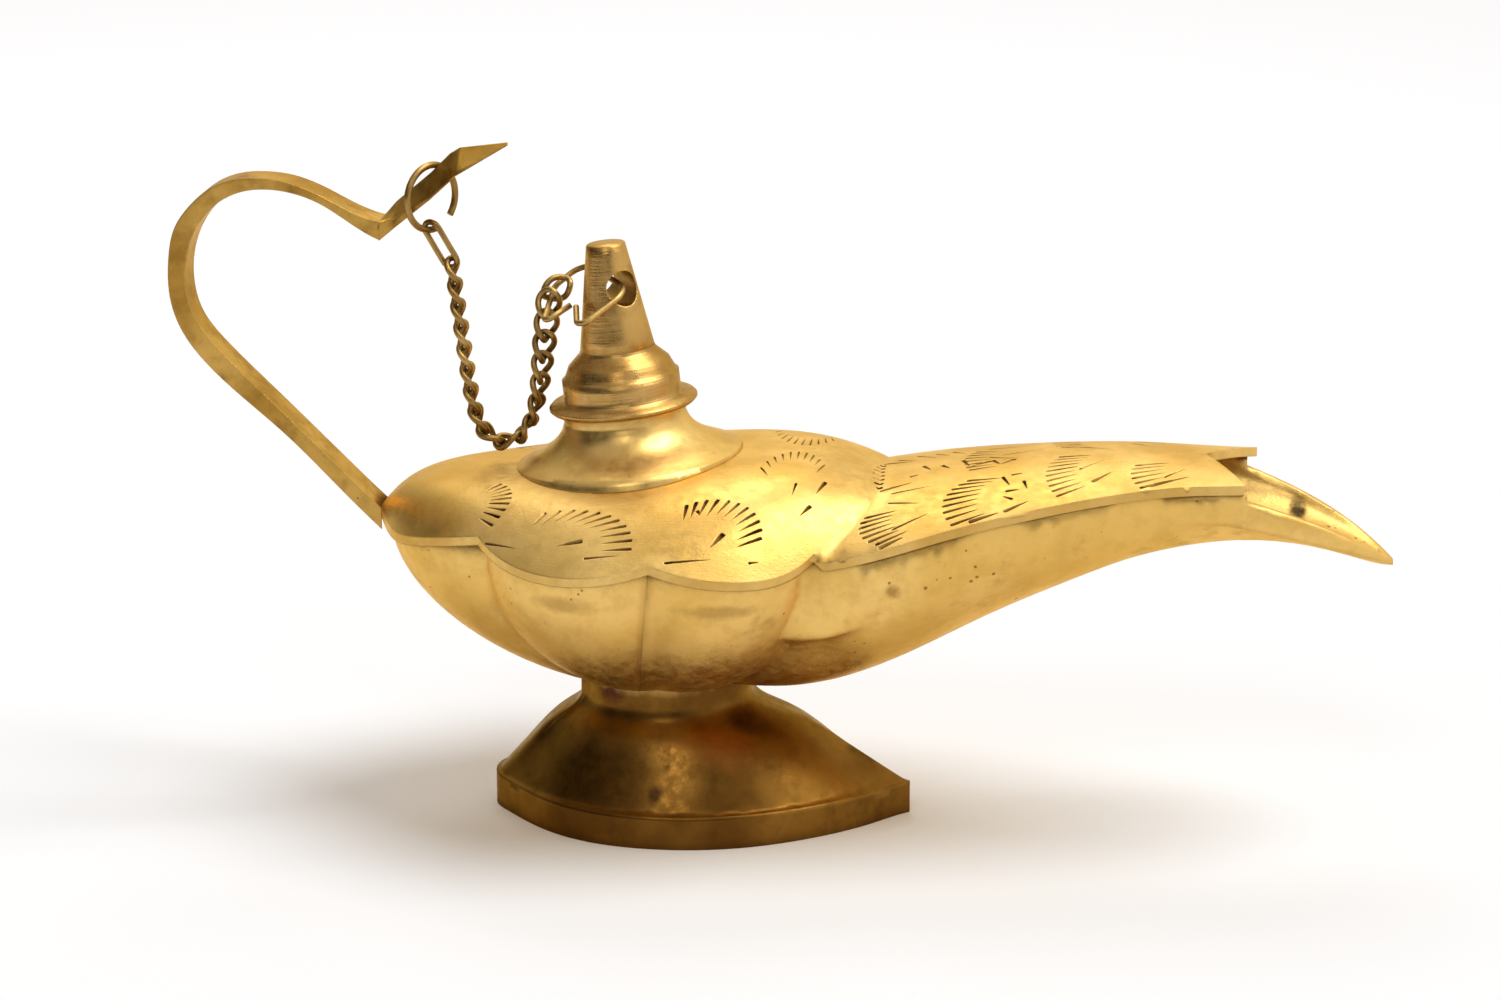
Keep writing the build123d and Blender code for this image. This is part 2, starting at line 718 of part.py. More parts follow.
def link_angles():
    """Angles of the hanging links: a rounded catenary that ends on the cap ring."""
    end = along_ring_side(CHAIN_END_SHARE) - chain_start()
    run = (end.dot(chain_direction()) - END_SLACK) / LINK_PITCH
    rise = end.Z / LINK_PITCH
    lengths = [1] * (LINK_COUNT - 1) + [(LINK_PITCH / 2 + END_GRIP) / LINK_PITCH]

    def angles(lowest, breadth):
        return [STRAND_ANGLE * math.tanh((index - lowest) / breadth) for index in range(LINK_COUNT)]

    def miss(lowest, breadth):
        turned = [math.radians(angle) for angle in angles(lowest, breadth)]
        across = sum(length * math.cos(turn) for length, turn in zip(lengths, turned))
        up = sum(length * math.sin(turn) for length, turn in zip(lengths, turned))
        return across - run, up - rise

    lowest = LINK_COUNT / 2
    breadth = run / 3
    step = 1e-5
    for _ in range(40):
        across, up = miss(lowest, breadth)
        by_lowest = [(b - a) / step for a, b in zip((across, up), miss(lowest + step, breadth))]
        by_breadth = [(b - a) / step for a, b in zip((across, up), miss(lowest, breadth + step))]
        scale = by_lowest[0] * by_breadth[1] - by_breadth[0] * by_lowest[1]
        lowest -= (across * by_breadth[1] - up * by_breadth[0]) / scale
        breadth -= (up * by_lowest[0] - across * by_lowest[1]) / scale
    return angles(lowest, breadth)


def link_path():
    """Half of a twisted link's centre line: four arcs, the other half is its half turn."""
    half_length = (LINK_PITCH + LINK_WIRE + LINK_PLAY) / 2
    twist = math.radians(LINK_TWIST)
    end = Vector(half_length, 0, 0)
    side = Vector(0, LINK_HALF_WIDTH, 0)
    end_way = Vector(0, math.cos(twist), -math.sin(twist))
    side_way = Vector(-1, 0, LINK_HALF_WIDTH * twist / half_length).normalized()
    first = LINK_LEAD_SHARE * LINK_HALF_WIDTH
    span = side - end
    second = (span.dot(span) / 2 - first * span.dot(end_way)) / (
        span.dot(side_way) + first * (1 - end_way.dot(side_way))
    )
    knee = end + end_way * first
    hip = side - side_way * second
    meeting = (knee * second + hip * first) / (first + second)
    meeting_way = (hip - knee).normalized()
    quarter = [
        TangentArc(end, meeting, tangent=end_way),
        TangentArc(meeting, side, tangent=meeting_way),
    ]
    mirrored = [edge.rotate(Axis.Y, 180) for edge in quarter]
    return Wire(edges_of(quarter + mirrored))


def make_link():
    """One twisted link of round wire about its own middle."""
    half = wire_along(link_path(), LINK_WIRE)
    return half + half.rotate(Axis.X, 180)


def make_hook_link():
    """The narrow plain loop between the handle ring and the chain."""
    above = (HANDLE_RING_WIRE + HOOK_WIRE + HOOK_PLAY) / 2
    below = (LINK_WIRE + HOOK_PLAY) / 2
    length = HOOK_DROP + above + below
    straight = length - 2 * HOOK_HALF_WIDTH
    middle = step_along(hook_top(), HOOK_ANGLE, (HOOK_DROP + below - above) / 2)
    right = straight / 2
    near = [(-right, -HOOK_HALF_WIDTH), (right, -HOOK_HALF_WIDTH)]
    far = [(right, HOOK_HALF_WIDTH), (-right, HOOK_HALF_WIDTH)]
    path = Wire(
        edges_of(
            [
                Line(near[0], near[1]),
                ThreePointArc(near[1], (right + HOOK_HALF_WIDTH, 0), far[0]),
                Line(far[0], far[1]),
                ThreePointArc(far[1], (-right - HOOK_HALF_WIDTH, 0), near[0]),
            ]
        )
    )
    loop = wire_along(path, HOOK_WIRE)
    return chain_frame(middle, HOOK_ANGLE, HOOK_ROLL) * loop


def make_chain_links():
    """The hanging links by name, each at its own place and angle, and the loose end link."""
    link = make_link()
    links = {}
    place = chain_start()
    rolls = [0] * (LINK_COUNT - len(STRAND_ROLLS)) + list(STRAND_ROLLS)
    for index, (angle, roll) in enumerate(zip(link_angles(), rolls)):
        middle = step_along(place, angle, LINK_PITCH / 2)
        links[f"link_{index + 1:02d}"] = chain_frame(middle, angle, roll) * link
        place = step_along(place, angle, LINK_PITCH)
    hang = along_ring_side(END_LINK_SHARE)
    middle = step_along(hang, END_LINK_ANGLE, END_GRIP)
    links[f"link_{LINK_COUNT + 1:02d}"] = chain_frame(middle, END_LINK_ANGLE, END_LINK_ROLL) * link
    return links


def foot_wire(spread, height, inset):
    """The foot's outline between the round waist and the drop-shaped rim."""
    back = -(WAIST_BACK + (FOOT_BACK - WAIST_BACK) * spread) + inset
    front = WAIST_FRONT + (FOOT_FRONT - WAIST_FRONT) * spread - inset
    half_width = WAIST_HALF_WIDTH + (FOOT_HALF_WIDTH - WAIST_HALF_WIDTH) * spread - inset
    steps = len(FOOT_RIM_SHARES) - 1
    points = []
    for step, (along, out) in enumerate(FOOT_RIM_SHARES):
        turn = math.pi * step / steps
        share_along = (1 - math.cos(turn)) / 2 * (1 - spread) + along * spread
        share_out = math.sin(turn) * (1 - spread) + out * spread
        points.append((back + (front - back) * share_along, half_width * share_out, height))
    mirrored = [(x, -y, z) for x, y, z in points]
    nose = math.radians(FOOT_NOSE_TURN * spread)
    far = Spline(*points, tangents=[(0, 1, 0), (math.sin(nose), -math.cos(nose), 0)])
    near = Spline(*mirrored[::-1], tangents=[(-math.sin(nose), -math.cos(nose), 0), (0, 1, 0)])
    return Wire([far, near])


def foot_body(inset, top):
    """The flare from the rim band's top up to the waist, drawn in by the inset."""
    wires = []
    for height, spread in FOOT_FLARE_SHARES:
        level = FOOT_RIM_HEIGHT + (top - FOOT_RIM_HEIGHT) * height
        wires.append(foot_wire(spread, level, inset))
    return Solid.make_loft(wires)


def make_foot(filled_lower):
    """The hollow foot: rim band, flare and waist, cut to the bowl's underside."""
    band = extrude(make_face(foot_wire(1, 0, 0)), amount=FOOT_RIM_HEIGHT, dir=(0, 0, 1))
    flare = foot_body(FOOT_STEP, FOOT_TOP)
    waist_face = make_face(foot_wire(0, FOOT_TOP, FOOT_STEP))
    waist = extrude(waist_face, amount=FOOT_OVERRUN, dir=(0, 0, 1))
    hollow_face = make_face(foot_wire(1, -CUT_OVERRUN, FOOT_WALL))
    hollow_band = extrude(hollow_face, amount=FOOT_RIM_HEIGHT + CUT_OVERRUN, dir=(0, 0, 1))
    hollow_flare = foot_body(FOOT_WALL + FOOT_STEP, FOOT_CEILING)
    return band + flare + waist - hollow_band - hollow_flare - filled_lower


def main():
    """Makes every piece, centres the lamp and writes one file for each piece."""
    outer_top = top_shape(0)
    inner_top = top_shape(COVER_WALL)
    pieces = {}
    pieces["lower_shell"], filled_lower = make_lower_shell(inner_top)
    pieces["upper_shell"], filled_cover = make_upper_shell(outer_top, inner_top)
    pieces["neck"] = make_neck(dome_solid(0))
    pieces["foot"] = make_foot(filled_lower)
    pieces["handle"] = make_handle((filled_lower, filled_cover))
    pieces["cap"] = make_cap()
    pieces["cap_ring"] = make_cap_ring()
    pieces["handle_ring"] = make_handle_ring()
    pieces["hook_link"] = make_hook_link()
    pieces.update(make_chain_links())
    back = pieces["handle"].bounding_box().min.X
    front = pieces["lower_shell"].bounding_box().max.X
    os.makedirs("parts", exist_ok=True)
    for name, piece in pieces.items():
        export_step(Pos(-(back + front) / 2, 0, 0) * piece, f"parts/{name}.step")
    print("moved along X by", -(back + front) / 2)


if __name__ == "__main__":
    main()
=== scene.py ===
"""Genie oil lamp of brass: smooth shells, engraved fans, twisted chain and a pale studio."""
import logging
import math
from dataclasses import dataclass, replace
from enum import Enum

import bmesh
import bpy
import numpy as np
from mathutils import Matrix, Vector
from mathutils.bvhtree import BVHTree
from mathutils.interpolate import poly_3d_calc


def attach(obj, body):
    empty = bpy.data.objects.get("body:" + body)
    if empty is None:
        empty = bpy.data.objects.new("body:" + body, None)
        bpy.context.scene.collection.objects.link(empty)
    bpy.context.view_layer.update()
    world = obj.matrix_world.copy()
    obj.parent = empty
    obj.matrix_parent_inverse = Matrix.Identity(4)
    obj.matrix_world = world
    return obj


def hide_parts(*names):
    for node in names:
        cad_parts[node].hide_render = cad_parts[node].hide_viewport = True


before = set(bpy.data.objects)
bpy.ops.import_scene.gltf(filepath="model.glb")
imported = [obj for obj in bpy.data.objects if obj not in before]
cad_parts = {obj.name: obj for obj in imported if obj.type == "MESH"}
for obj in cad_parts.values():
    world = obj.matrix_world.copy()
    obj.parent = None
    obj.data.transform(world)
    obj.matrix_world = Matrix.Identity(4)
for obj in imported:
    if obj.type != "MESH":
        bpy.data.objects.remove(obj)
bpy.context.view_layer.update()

log = logging.getLogger("genie_oil_lamp")

MM = 0.001
# The neck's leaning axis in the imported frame
AXIS_FOOT = Vector((-0.019116, 0.0, 0.0471))
AXIS_LEAN = math.radians(6.0)
EDGE_TINT = (0.95, 0.78, 0.5)
# The finishes' marks, in millimetres
EDGE_RADIUS = 0.25
# The reach of the ambient occlusion that paints shade into creases
CREASE_SHADE_REACH = 2.5
DRIFT_SIZE = 16.0
MOTTLE_SIZE = 3.2
STAIN_SIZE = 7.0
GRAIN_SIZE = 0.35
WOBBLE_SIZE = 5.0
UNEVEN_SIZE = 1.4
RAGGED_SIZE = 1.6
TURNED_SIZE = 0.3
BRUSHED_SIZE = 0.22
ROLLED_SIZE = 0.25
CAST_SIZE = 0.9
PIT_PATCH_SIZE = 5.0
PIT_GAP = 1.3
PIT_DEPTH = 0.05
# Shares: a pit's reach and stain, and what stains, painted crease shade and worn edges do to the
# roughness
PIT_REACH = 0.3
PIT_STAIN = 0.75
STAIN_AND_SHADE_ROUGHNESS = 0.25
EDGE_POLISH = 0.1
SPOT_EDGE = (0.75, 1.55)
TURN_STRETCH = 0.12
# Millimetres and degrees: how the meshes are joined and shaded
MERGE_DISTANCE = 0.002
SHARP_DEGREES = 28.0
SPOUT_SHARP_DEGREES = 40.0
INWARD_SHARE = 0.02
SAME_WAY = 0.8
NODE_GAP = 180
Pair = tuple[float, float]
Colour = tuple[float, float, float]
Span = tuple[float, float, float, float]
Socket = bpy.types.NodeSocket
Mesh = bpy.types.Mesh
Material = bpy.types.Material
Node = bpy.types.Node
Object = bpy.types.Object


class Work(Enum):
    """How a piece's surface was worked before it was worn."""

    CAST = "cast and tumbled"
    BRUSHED = "brushed along the lamp"
    TURNED = "turned about the neck's axis"
    ROLLED = "rolled strip"
    DRAWN = "drawn wire"


class Graph:
    """Adds and joins the nodes of one shader or geometry tree."""

    def __init__(self, tree: bpy.types.NodeTree) -> None:
        """Takes over a tree.

        Args:
            tree: The node tree to fill.
        """
        self.tree = tree

    def node(self, kind: str, inputs: dict | None = None, **settings: object) -> Node:
        """Adds a node.

        Args:
            kind: The node's type name.
            inputs: What its inputs get, by their names or numbers.
            settings: Properties to set on it.

        Returns:
            The new node.
        """
        made = self.tree.nodes.new(kind)
        for name, value in settings.items():
            setattr(made, name, value)
        for name, value in (inputs or {}).items():
            self.feed(made.inputs[name], value)
        made.location.x = len(self.tree.nodes) * NODE_GAP
        return made

    def feed(self, socket: Socket, value: object) -> None:
        """Joins a socket to an output, or sets its own value.

        Args:
            socket: The input to feed.
            value: A socket, a node, for its first output, a number, a vector or a colour.
        """
        if isinstance(value, Node):
            value = value.outputs[0]
        if isinstance(value, Socket):
            self.tree.links.new(value, socket)
        else:
            socket.default_value = value

    def maths(self, operation: str, *values: object, clamp: bool = False) -> Socket:
        """Adds a Math node.

        Args:
            operation: The operation's name.
            values: Its inputs, sockets or numbers.
            clamp: Whether the result is kept between 0 and 1.

        Returns:
            The result's socket.
        """
        inputs = dict(enumerate(values))
        return self.node("ShaderNodeMath", inputs, operation=operation, use_clamp=clamp).outputs[0]

    def times(self, first: object, second: object) -> Socket:
        """Multiplies two numbers."""
        return self.maths("MULTIPLY", first, second)

    def vectors(self, operation: str, *values: object) -> Socket:
        """Adds a Vector Math node.

        Args:
            operation: The operation's name.
            values: Its vector inputs, sockets or triples.

        Returns:
            The vector result, or the number for a dot product or a length.
        """
        made = self.node("ShaderNodeVectorMath", dict(enumerate(values)), operation=operation)
        number = operation in ("DOT_PRODUCT", "LENGTH")
        return made.outputs["Value" if number else "Vector"]

    def span(self, value: object, low: float, high: float, to_low: float = 0.0,
             to_high: float = 1.0) -> Socket:
        """Maps a range to another, smoothly and clamped.

        Args:
            value: The socket to map.
            low: Where the source range starts.
            high: Where it ends.
            to_low: The result at the start.
            to_high: The result at the end.

        Returns:
            The mapped number.
        """
        inputs = dict(enumerate((value, low, high, to_low, to_high)))
        made = self.node("ShaderNodeMapRange", inputs, interpolation_type="SMOOTHSTEP", clamp=True)
        return made.outputs["Result"]

    def blend(self, share: object, first: object, second: object) -> Socket:
        """Mixes two colours.

        Args:
            share: How much of the second is taken.
            first: A colour or a socket.
            second: A colour or a socket.

        Returns:
            The mixed colour.
        """
        first, second = ((*c, 1.0) if isinstance(c, tuple) else c for c in (first, second))
        return self.node("ShaderNodeMix", {0: share, 6: first, 7: second}, data_type="RGBA").outputs[2]

    def parts(self, vector: Socket | Node) -> bpy.types.bpy_prop_collection:
        """Splits a vector into its X, Y and Z."""
        return self.node("ShaderNodeSeparateXYZ", {0: vector}).outputs

    def joined(self, *numbers: object) -> Socket:
        """Joins X, Y and Z, as far as they are given, into a vector."""
        return self.node("ShaderNodeCombineXYZ", dict(enumerate(numbers))).outputs[0]


def emptied(block: Material | bpy.types.World) -> bpy.types.NodeTree:
    """Turns on the nodes of a material or a world and clears them.

    Args:
        block: The material or the world.

    Returns:
        Its empty tree.
    """
    block.use_nodes = True
    block.node_tree.nodes.clear()
    return block.node_tree


class MaterialGraph(Graph):
    """A material's tree, with the piece's own coordinates in metres at hand."""

    def __init__(self, material: Material) -> None:
        """Clears the material and adds the coordinates.

        Args:
            material: The material to fill.
        """
        super().__init__(emptied(material))
        self.place = self.node("ShaderNodeTexCoord").outputs["Object"]

    def noise(self, size_mm: float, detail: float = 3.0, rough: float = 0.55,
              place: Socket | None = None) -> Socket:
        """Adds a noise with marks of about the given size.

        Args:
            size_mm: The size of its marks.
            detail: How many finer layers it has.
            rough: How strong they are.
            place: Other coordinates than the piece's own.

        Returns:
            The noise value, about 0.5 on average.
        """
        made = self.node("ShaderNodeTexNoise", {
            "Vector": self.place if place is None else place, "Scale": 1.0 / (size_mm * MM),
            "Detail": detail, "Roughness": rough})
        return made.outputs["Fac"]

    def stretched(self, squeeze: Colour) -> Socket:
        """Scales the coordinates along each axis, so that marks become streaks."""
        return self.vectors("MULTIPLY", self.place, squeeze)

    def offset(self, by: Colour) -> Socket:
        """Moves the coordinates, so that two layers of noise differ."""
        return self.vectors("ADD", self.place, by)

    def rounded(self, radius_mm: float, samples: int) -> Socket:
        """Gives the normal as if the edges were rounded."""
        bevel = self.node("ShaderNodeBevel", {"Radius": radius_mm * MM}, samples=samples)
        return bevel.outputs["Normal"]


@dataclass(frozen=True)
class Brass:
    """One brass finish: its tones, its wear and the marks of its making."""

    name: str
    slot: str
    bright: Colour
    tone: Colour
    deep: Colour
    stain: Colour
    work: Work
    roughness: float = 0.32
    stain_share: float = 0.3
    grain_depth: float = 0.012
    streak_depth: float = 0.006
    wobble_depth: float = 0.03
    pit_share: float = 0.0
    round_edge: float = 0.25
    mottle_share: float = 0.4
    edge_wear: float = 0.6
    # How far ambient occlusion darkens creases and recesses: painted shade
    painted_crease_shade: float = 0.8

    def build(self) -> Material:
        """Makes the material.

        Returns:
            The finished material.
        """
        material = bpy.data.materials.new(self.name)
        graph = MaterialGraph(material)
        colour, dull = self.colours(graph)
        height, pits = self.relief(graph)
        colour = graph.blend(graph.times(pits, PIT_STAIN), colour, self.stain)
        colour, dull = self.extras(graph, colour, dull)
        normal = graph.rounded(EDGE_RADIUS, 4)
        edge = self.edges(graph, normal)
        if self.round_edge > EDGE_RADIUS:
            normal = graph.rounded(self.round_edge, 6)
        colour = graph.blend(graph.times(edge, self.edge_wear), colour, self.bright)
        bump = graph.node("ShaderNodeBump", {"Distance": MM, "Height": height, "Normal": normal})
        surface = graph.node("ShaderNodeBsdfPrincipled", {
            "Metallic": 1.0, "Specular Tint": (*EDGE_TINT, 1.0), "Base Color": colour,
            "Roughness": self.polish(graph, dull, edge), "Normal": bump.outputs["Normal"]})
        graph.node("ShaderNodeOutputMaterial", {"Surface": surface})
        return material

    def colours(self, graph: MaterialGraph) -> tuple[Socket, Socket]:
        """Mixes the tones: broad drifts, mottling, stains and painted shade in the creases from ambient
        occlusion.

        Args:
            graph: The tree to add to.

        Returns:
            The colour and how dull the metal is.
        """
        drift = graph.span(graph.noise(DRIFT_SIZE, 2.0), 0.35, 0.65)
        mottle = graph.noise(MOTTLE_SIZE, 5.0, 0.6, graph.offset((0.3, 0.1, 0.7)))
        mottled = graph.span(mottle, 0.42, 0.7, 0.0, self.mottle_share)
        colour = graph.blend(mottled, graph.blend(drift, self.tone, self.bright), self.deep)
        spots = graph.noise(STAIN_SIZE, 6.0, 0.68, graph.offset((0.9, 0.5, 0.2)))
        stained = graph.span(spots, 0.56, 0.72, 0.0, self.stain_share)
        colour = graph.blend(stained, colour, self.stain)
        # Painted shade: ambient occlusion darkens creases and recesses towards the stain tone and dulls
        # them
        hollow = graph.node("ShaderNodeAmbientOcclusion", {"Distance": CREASE_SHADE_REACH * MM}, samples=4)
        shade_mask = graph.span(hollow.outputs["AO"], 0.35, 0.85, self.painted_crease_shade, 0.0)
        return graph.blend(shade_mask, colour, self.stain), graph.maths("ADD", stained, shade_mask)

    def relief(self, graph: MaterialGraph) -> tuple[Socket, Socket]:
        """Adds up the surface's height in millimetres.

        Args:
            graph: The tree to add to.

        Returns:
            The height and where the pits are.
        """
        grain = graph.times(graph.noise(GRAIN_SIZE), self.grain_depth)
        wobble = graph.times(graph.noise(WOBBLE_SIZE, 2.0, 0.4), self.wobble_depth)
        streak = graph.times(self.streaks(graph), self.streak_depth)
        height = graph.maths("ADD", graph.maths("ADD", grain, wobble), streak)
        cells = graph.node("ShaderNodeTexVoronoi",
                           {"Vector": graph.place, "Scale": 1.0 / (PIT_GAP * MM)})
        where = graph.noise(PIT_PATCH_SIZE, 3.0, 0.6, graph.offset((0.2, 0.8, 0.4)))
        reach = graph.span(where, 0.5, 0.75, 0.0, PIT_REACH * self.pit_share)
        pits = graph.maths("LESS_THAN", cells.outputs["Distance"], reach)
        return graph.maths("SUBTRACT", height, graph.times(pits, PIT_DEPTH)), pits

    def streaks(self, graph: MaterialGraph) -> Socket:
        """Adds the marks that the making left, from 0 to 1.

        Args:
            graph: The tree to add to.

        Returns:
            The streaks' value.
        """
        if self.work is Work.TURNED:
            return graph.noise(TURNED_SIZE, 3.0, 0.7, turned_place(graph))
        if self.work is Work.BRUSHED:
            return graph.noise(BRUSHED_SIZE, 3.0, 0.6, graph.stretched((0.05, 1.0, 1.0)))
        if self.work is Work.ROLLED:
            return graph.noise(ROLLED_SIZE, 3.0, 0.65, graph.stretched((0.12, 1.0, 0.12)))
        return graph.noise(CAST_SIZE, 4.0, 0.7, graph.offset((0.6, 0.6, 0.1)))

    def edges(self, graph: MaterialGraph, rounded: Socket) -> Socket:
        """Finds edges, where the rounded normal leaves the face's own.

        Args:
            graph: The tree to add to.
            rounded: The rounded normal.

        Returns:
            How much a place lies on an edge, from 0 to 1.
        """
        plain = graph.node("ShaderNodeNewGeometry").outputs["Normal"]
        agreement = graph.vectors("DOT_PRODUCT", rounded, plain)
        return graph.span(agreement, 0.82, 0.985, 1.0, 0.0)

    def polish(self, graph: MaterialGraph, dull: Socket, edge: Socket) -> Socket:
        """Varies the roughness: duller stains, smoother edges and fine unevenness.

        Args:
            graph: The tree to add to.
            dull: How dull the stains, the spots and the painted crease shade make the metal.
            edge: How much a place lies on an edge.

        Returns:
            The roughness.
        """
        uneven = graph.span(graph.noise(UNEVEN_SIZE, 4.0, 0.65), 0.3, 0.7, -0.06, 0.09)
        rough = graph.maths("ADD", uneven, self.roughness)
        rough = graph.maths("ADD", rough, graph.times(dull, STAIN_AND_SHADE_ROUGHNESS))
        return graph.maths("SUBTRACT", rough, graph.times(edge, EDGE_POLISH), clamp=True)

    def extras(self, graph: MaterialGraph, colour: Socket, dull: Socket) -> tuple[Socket, Socket]:
        """Leaves the colour as it is; a marked finish adds its marks here."""
        return colour, dull


@dataclass(frozen=True)
class SpotMark:
    """A soft-edged patch of colour at one place of a piece; some are stains and soot, some painted
    shade.
    """

    centre: Colour
    radii: Colour
    colour: Colour
    strength: float
    dullness: float


@dataclass(frozen=True)
class Crease:
    """A pressed line down a side of the bowl, in a plane through one point: a groove in the bump and a
    line of painted shade in the colour.
    """

    point: Colour
    across: Colour
    heights: Pair
    width: float
    depth: float
    power: float = 1.6
    ends: Pair = (3.0, 0.5)
    front: Pair = (-6.0, -5.0)


@dataclass(frozen=True)
class MarkedBrass(Brass):
    """A brass finish with stains, painted shade and pressed lines at places of their own."""

    marks: tuple[SpotMark, ...] = ()
    creases: tuple[Crease, ...] = ()

    def relief(self, graph: MaterialGraph) -> tuple[Socket, Socket]:
        """Adds the pressed lines to the height.

        Args:
            graph: The tree to add to.

        Returns:
            The height and where the pits are.
        """
        height, pits = super().relief(graph)
        for crease in self.creases:
            line = graph.times(self.line(graph, crease), crease.depth)
            height = graph.maths("SUBTRACT", height, line)
        return height, pits

    def line(self, graph: MaterialGraph, crease: Crease) -> Socket:
        """Gives how near a place is to a pressed line.

        Args:
            graph: The tree to add to.
            crease: The line.

        Returns:
            1 on the line, falling to 0 at its sides and its ends.
        """
        away = graph.vectors("SUBTRACT", graph.place, tuple(c * MM for c in crease.point))
        off = graph.maths("ABSOLUTE", graph.vectors("DOT_PRODUCT", away, crease.across))
        off = graph.maths("DIVIDE", off, crease.width * MM)
        near = graph.maths("POWER", graph.maths("SUBTRACT", 1.0, off, clamp=True), crease.power)
        _, y, z = graph.parts(graph.place)
        (low, high), (below, above) = crease.heights, crease.ends
        inside = graph.times(graph.span(z, low * MM, (low + below) * MM),
                             graph.span(z, high * MM, (high + above) * MM, 1.0, 0.0))
        front = graph.span(y, *(side * MM for side in crease.front), 1.0, 0.0)
        return graph.times(near, graph.times(inside, front))

    def extras(self, graph: MaterialGraph, colour: Socket, dull: Socket) -> tuple[Socket, Socket]:
        """Lays the spots and the painted shade of the pressed lines over the colour.

        Args:
            graph: The tree to add to.
            colour: The colour below the spots.
            dull: How dull the metal is so far.

        Returns:
            The colour and the dullness with the spots.
        """
        ragged = graph.noise(RAGGED_SIZE, 5.0, 0.7, graph.offset((0.4, 0.9, 0.9)))
        for mark in self.marks:
            away = graph.vectors("SUBTRACT", graph.place, tuple(c * MM for c in mark.centre))
            away = graph.vectors("DIVIDE", away, tuple(r * MM for r in mark.radii))
            reach = graph.maths("ADD", graph.vectors("LENGTH", away), ragged)
            share = graph.span(reach, *SPOT_EDGE, mark.strength, 0.0)
            colour = graph.blend(share, colour, mark.colour)
            dull = graph.maths("ADD", dull, graph.times(share, mark.dullness))
        # Painted shade along each pressed line: the colour darkens towards the stain tone in the crease
        for crease in self.creases:
            line = graph.span(self.line(graph, crease), 0.6, 1.0, 0.0, 0.22)
            colour = graph.blend(line, colour, self.stain)
        return colour, dull


def turned_place(graph: MaterialGraph) -> Socket:
    """Gives coordinates round the neck's axis: out from it, along it and hardly round it.

    Args:
        graph: The tree to add to.

    Returns:
        A vector for a noise whose marks run round the axis.
    """
    upright = graph.node("ShaderNodeMapping", {
        "Vector": graph.place, "Location": AXIS_FOOT, "Rotation": (0.0, -AXIS_LEAN, 0.0)},
        vector_type="TEXTURE")
    x, y, z = graph.parts(upright)
    out = graph.vectors("LENGTH", graph.joined(x, y))
    turn = graph.maths("ARCTAN2", y, x)
    return graph.joined(out, z, graph.times(turn, TURN_STRETCH * MM))


SOOT = (0.035, 0.022, 0.012)
SHELL_BRASS = MarkedBrass(
    "Satin shell brass", "polished_brass",
    bright=(0.84, 0.55, 0.17), tone=(0.74, 0.46, 0.115), deep=(0.56, 0.32, 0.065),
    stain=(0.22, 0.105, 0.022), work=Work.CAST, roughness=0.36, pit_share=1.0,
    grain_depth=0.026, streak_depth=0.014, mottle_share=0.35, round_edge=1.1,
    marks=(
        SpotMark((66.0, 4.5, 41.5), (1.6, 2.6, 3.0), SOOT, 0.95, 0.8),
        SpotMark((66.2, 1.5, 40.5), (1.3, 4.5, 3.0), SOOT, 0.6, 0.6),
        SpotMark((16.4, -19.3, 35.3), (1.3, 2.0, 1.3), (0.3, 0.15, 0.03), 0.7, 0.3),
        # Painted shade below the cover's overhanging rim, on the front of the bowl
        SpotMark((-24.2, -25.7, 34.4), (6.0, 3.0, 1.6), (0.34, 0.18, 0.04), 0.5, 0.3),
        SpotMark((-3.7, -25.9, 34.0), (8.0, 3.0, 1.4), (0.34, 0.18, 0.04), 0.55, 0.3),
    ),
    creases=(
        Crease((-13.9, -24.0, 34.0), (0.991, 0.109, -0.074), (14.5, 40.0), 4.0, 0.6),
        Crease((-13.9, -24.0, 34.0), (0.991, 0.109, -0.074), (14.5, 40.0), 0.9, 0.12),
    ),
)
COVER_BRASS = MarkedBrass(
    "Brushed cover brass", "polished_brass",
    bright=(0.80, 0.53, 0.17), tone=(0.64, 0.385, 0.095), deep=(0.50, 0.28, 0.06),
    stain=(0.25, 0.13, 0.03), work=Work.BRUSHED, roughness=0.4, pit_share=0.3,
    grain_depth=0.02, streak_depth=0.02, stain_share=0.15, mottle_share=0.25,
    marks=(
        SpotMark((8.0, -8.0, 44.5), (5.0, 16.0, 8.0), (0.42, 0.25, 0.07), 0.4, 0.2),
    ),
)
# Inside the cut strokes the painted crease shade is at full strength
CUT_BRASS = Brass(
    "Chisel cut brass", "polished_brass",
    bright=(0.5, 0.3, 0.09), tone=(0.2, 0.1, 0.025), deep=(0.12, 0.06, 0.014),
    stain=(0.05, 0.022, 0.006), work=Work.CAST, roughness=0.45, stain_share=0.6,
    painted_crease_shade=1.0, edge_wear=0.2,
)
NECK_BRASS = Brass(
    "Turned neck brass", "polished_brass",
    bright=(0.80, 0.53, 0.17), tone=(0.64, 0.39, 0.1), deep=(0.48, 0.27, 0.06),
    stain=(0.2, 0.1, 0.025), work=Work.TURNED, roughness=0.33, streak_depth=0.014,
    grain_depth=0.006, stain_share=0.2, mottle_share=0.3,
)
CAP_BRASS = Brass(
    "Browned cap brass", "cap_brass",
    bright=(0.58, 0.35, 0.11), tone=(0.38, 0.20, 0.045), deep=(0.27, 0.13, 0.028),
    stain=(0.11, 0.05, 0.014), work=Work.TURNED, roughness=0.3, streak_depth=0.055,
    grain_depth=0.008, stain_share=0.4,
)
